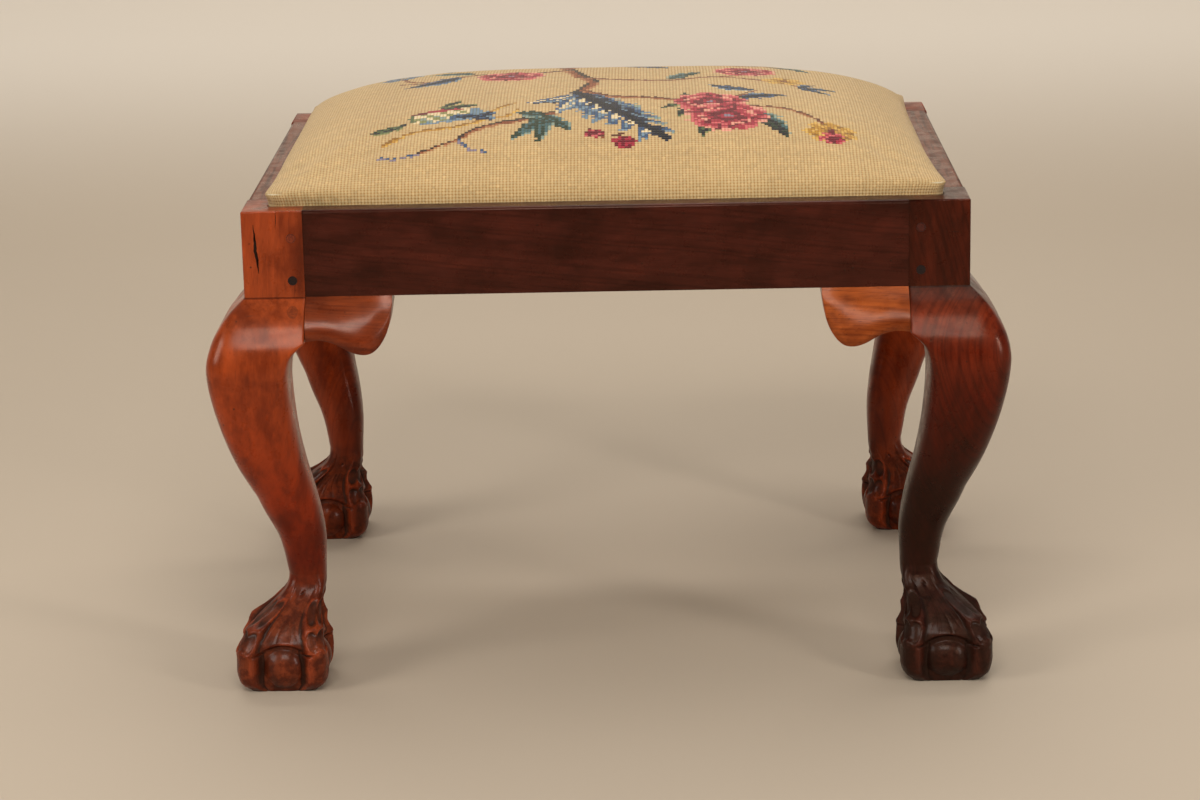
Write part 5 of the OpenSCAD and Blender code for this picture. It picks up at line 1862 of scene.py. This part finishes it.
# once round a strap: from edge (-1) to edge (1), first below (0) and then above (1)
STRAP_SECTION = [(edge, 0) for edge in (-1, -0.5, 0, 0.5, 1)] + [(edge, 1) for edge in (1, 0.5, 0, -0.5, -1)]
straps = []


def strap(name, middle, half_length, crossings, rises, along_x):
    """A flat strap, whose middle line rises by its own thickness where it crosses over."""
    run = np.linspace(-half_length, half_length, 201)
    lift = np.zeros_like(run)
    for place, over in zip(crossings, rises):
        if over:
            lift += smooth_step(45, 27, np.abs(run - place))
    rings = []
    for edge, upper in STRAP_SECTION:
        aside = np.full_like(run, middle + edge * STRAP_W / 2)
        z = MEMBER_TOP + SKIN + STRAP_T * (lift + 0.98 * upper)
        rings.append(np.stack([run, aside, z] if along_x else [aside, run, z], axis=-1))
    points = np.stack(rings, axis=1).reshape(-1, 3)
    faces = ring_faces(len(run), len(rings)) + end_caps(len(rings), len(points))
    made = new_piece(name, points * MM, faces, "drop_in_seat")
    made.data.set_sharp_from_angle(angle=math.radians(40))
    straps.append((made, along_x))
    return made


for i, y in enumerate(LONG_Y):
    rises = [(i + j) % 2 == 0 for j in range(len(CROSS_X))]
    made = strap(f"long_strap_{i + 1}", y, LONG_HALF, CROSS_X, rises, True)
    if i == 0:
        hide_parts("webbing_long")
for j, x in enumerate(CROSS_X):
    rises = [(i + j) % 2 == 1 for i in range(len(LONG_Y))]
    made = strap(f"cross_strap_{j + 1}", x, CROSS_HALF, LONG_Y, rises, False)
    if j == 0:
        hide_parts("webbing_cross")
print("woven straps:", len(straps))

# %% [markdown]
# Each cloth's weave is written in its own finish: twill with two dark stripes
# for the webbing, an open plain weave for the hessian, a fine one for the
# calico. Threads cross by rule, so the rule gives both colour and height, and
# where the threads dip the colour is painted shade.

# %% Weaves
def plain_weave(name, thread, light, dark, gap):
    """Over-and-under weave in the plane of the cloth, with painted shade where it dips. thread is the pitch
    in mm, gap the share left open.
    """
    made, tree, shader = new_finish(name)
    place = object_place(tree)
    split = add(tree, "SeparateXYZ", {0: place})
    turn = math.pi / (thread * MM)
    drift = times(tree, maths(tree, "SUBTRACT", noise(tree, place, 60.0, 2.0), 0.5), 1.6)
    waves = []
    for axis in ("X", "Y"):
        waves.append(maths(tree, "SINE", maths(tree, "ADD", times(tree, split.outputs[axis], turn), drift)))
    warp, weft = (maths(tree, "ABSOLUTE", wave) for wave in waves)
    which = remap(tree, times(tree, *waves), -0.25, 0.25)
    height = add(tree, "Mix", {0: which, 2: warp, 3: weft}).outputs[0]
    fibres = noise(tree, place, 2400.0, 2.0)
    slub = noise(tree, stretched(tree, place, (1, 0.08, 1)), 420.0, 1.0)
    colour = mix(tree, remap(tree, fibres, 0.35, 0.65), light, dark)
    colour = tint(tree, remap(tree, slub, 0.5, 0.66, 0, 0.5), colour, (0.7, 0.62, 0.5))
    # Where the threads dip and the weave lies open: painted shade.
    colour = tint(tree, remap(tree, height, gap + 0.2, gap, 0, 0.85), colour, (0.3, 0.22, 0.16))
    relief = maths(tree, "ADD", height, times(tree, fibres, 0.25))
    give(tree, shader, {
        "Base Color": colour, "Normal": bumps(tree, relief, 0.8, 0.0003 * thread),
        "Roughness": 0.9, "Specular IOR Level": 0.15, "Sheen Weight": 0.15,
    })
    return made


def webbing_weave(name, along_x, middles):
    """Herringbone jute with a dark stripe near each edge, and painted shade in the troughs of its ribs."""
    made, tree, shader = new_finish(name)
    place = object_place(tree)
    split = add(tree, "SeparateXYZ", {0: place})
    run, across = ("X", "Y") if along_x else ("Y", "X")
    aside = None
    for middle in middles:
        far = maths(tree, "ABSOLUTE", maths(tree, "SUBTRACT", split.outputs[across], middle * MM))
        aside = far if aside is None else maths(tree, "MINIMUM", aside, far)
    zigzag = maths(tree, "PINGPONG", aside, 3.2 * MM)
    lean = maths(tree, "ADD", split.outputs[run], zigzag)
    rib = maths(tree, "SINE", times(tree, lean, 2 * math.pi / (1.5 * MM)))
    fibres = noise(tree, stretched(tree, place, ALONG[run.lower()]), 2600.0, 2.0)
    colour = mix(tree, remap(tree, fibres, 0.35, 0.65), srgb(196, 168, 118), srgb(160, 128, 82))
    stripe = times(tree, remap(tree, aside, 17.2 * MM, 17.6 * MM), remap(tree, aside, 20.6 * MM, 20.2 * MM))
    colour = mix(tree, stripe, colour, srgb(74, 46, 32))
    # Painted shade in the troughs of the ribs.
    colour = tint(tree, remap(tree, rib, -0.2, -0.95, 0, 0.7), colour, (0.42, 0.34, 0.26))
    dust = noise(tree, place, 34.0, 3.0)
    colour = mix(tree, remap(tree, dust, 0.45, 0.7, 0, 0.4), colour, srgb(120, 100, 74))
    relief = maths(tree, "ADD", rib, times(tree, fibres, 0.5))
    give(tree, shader, {
        "Base Color": colour, "Normal": bumps(tree, relief, 0.7, 0.0003),
        "Roughness": 0.88, "Specular IOR Level": 0.15, "Sheen Weight": 0.12,
    })
    return made


def curled_hair():
    """Dark curls, as bent lines of a distorted noise."""
    made, tree, shader = new_finish("curled hair")
    place = object_place(tree)
    inputs = {"Vector": place, "Scale": 60.0, "Distortion": 22.0, "Detail": 3.0, "Detail Scale": 2.2}
    bands = add(tree, "TexWave", inputs).outputs["Fac"]
    strands = times(tree, bands, noise(tree, place, 260.0, 4.0, 0.6, 2.5))
    shades = [(0.12, (0.012, 0.008, 0.006)), (0.32, (0.06, 0.038, 0.024)), (0.6, (0.2, 0.135, 0.085))]
    give(tree, shader, {
        "Base Color": ramp(tree, strands, shades), "Normal": bumps(tree, strands, 1.0, 0.0012),
        "Roughness": 0.55,
    })
    return made


long_weave = webbing_weave("webbing along the stool", True, LONG_Y)
cross_weave = webbing_weave("webbing across the stool", False, CROSS_X)
for piece, along_x in straps:
    paint(piece, long_weave if along_x else cross_weave)
paint(hessian, plain_weave("hessian", 1.6, srgb(186, 156, 108), srgb(150, 118, 74), 0.34))
paint(lining, plain_weave("calico", 0.55, srgb(226, 212, 180), srgb(206, 188, 150), 0.16))
paint(pad, curled_hair())
print("materials with the seat's:", len(bpy.data.materials))

# %% [markdown]
# The stool stands in a plain pale room: one soft floor that curves up far
# behind it, so that there is room to walk round it. A broad soft light hangs
# high in front, a weaker one above, one lights the floor behind, and a narrow
# one at the right draws a thin bright line down the polished knee.

# %% Studio
FLOOR_HALF_W, FLOOR_FRONT, FLOOR_END = 11, -9.0, 3.8
BEND_R, WALL_TOP = 2.0, 8.0
WARM = (1.0, 0.97, 0.93)

profile = [(FLOOR_FRONT, 0), (FLOOR_END, 0)]
for t in np.linspace(0, math.pi / 2, 17)[1:]:
    profile.append((FLOOR_END + BEND_R * math.sin(t), BEND_R - BEND_R * math.cos(t)))
profile.append((FLOOR_END + BEND_R, WALL_TOP))
floor_points, floor_faces = [], []
for y, z in profile:
    floor_points += [(-FLOOR_HALF_W, y, z), (FLOOR_HALF_W, y, z)]
for i in range(len(profile) - 1):
    floor_faces.append((2 * i, 2 * i + 1, 2 * i + 3, 2 * i + 2))
floor_mesh = bpy.data.meshes.new("floor")
floor_mesh.from_pydata(floor_points, [], floor_faces)
floor_mesh.shade_smooth()
floor = new_object("floor", floor_mesh)
floor_finish, floor_tree, floor_shader = new_finish("pale floor")
behind = add(floor_tree, "SeparateXYZ", {0: object_place(floor_tree)}).outputs["Y"]
floor_colour = mix(floor_tree, remap(floor_tree, behind, 1.4, 3.2), (0.5, 0.41, 0.31), (0.78, 0.7, 0.6))
give(floor_tree, floor_shader, {"Base Color": floor_colour, "Roughness": 0.65})
paint(floor, floor_finish)


def softbox(name, place, target, width, height, power, colour=WARM):
    """A rectangular soft light in watts that looks from its place at a target."""
    data = bpy.data.lights.new(name, "AREA")
    data.shape = "RECTANGLE"
    data.size, data.size_y = width, height
    data.energy = power
    data.color = colour
    made = new_object(name, data)
    made.location = place
    made.rotation_euler = (Vector(target) - Vector(place)).to_track_quat("-Z", "Y").to_euler()


softbox("key", (-0.1, -2.3, 2.15), (0, 0, 0.25), 1.6, 0.8, 40)
softbox("left", (-2.3, -1.5, 1.5), (-0.1, 0, 0.2), 1.1, 1.2, 30)
softbox("overhead", (0.2, 0.3, 2.3), (0, 0.05, 0.3), 1.8, 1.4, 16)
softbox("backdrop", (0, 2.9, 4.4), (0, 4.6, 0.6), 7.0, 1.1, 150, (1.0, 0.96, 0.9))
softbox("right strip", (2.0, -1.75, 1.05), (0.25, -0.2, 0.28), 0.3, 1.2, 18, (1.0, 0.97, 0.94))

world = bpy.data.worlds.new("studio")
world.use_nodes = True
sky = world.node_tree.nodes["Background"]
give(world.node_tree, sky, {"Color": (0.95, 0.93, 0.9), "Strength": 0.16})
bpy.context.scene.world = world
bpy.context.scene.view_settings.view_transform = "Standard"
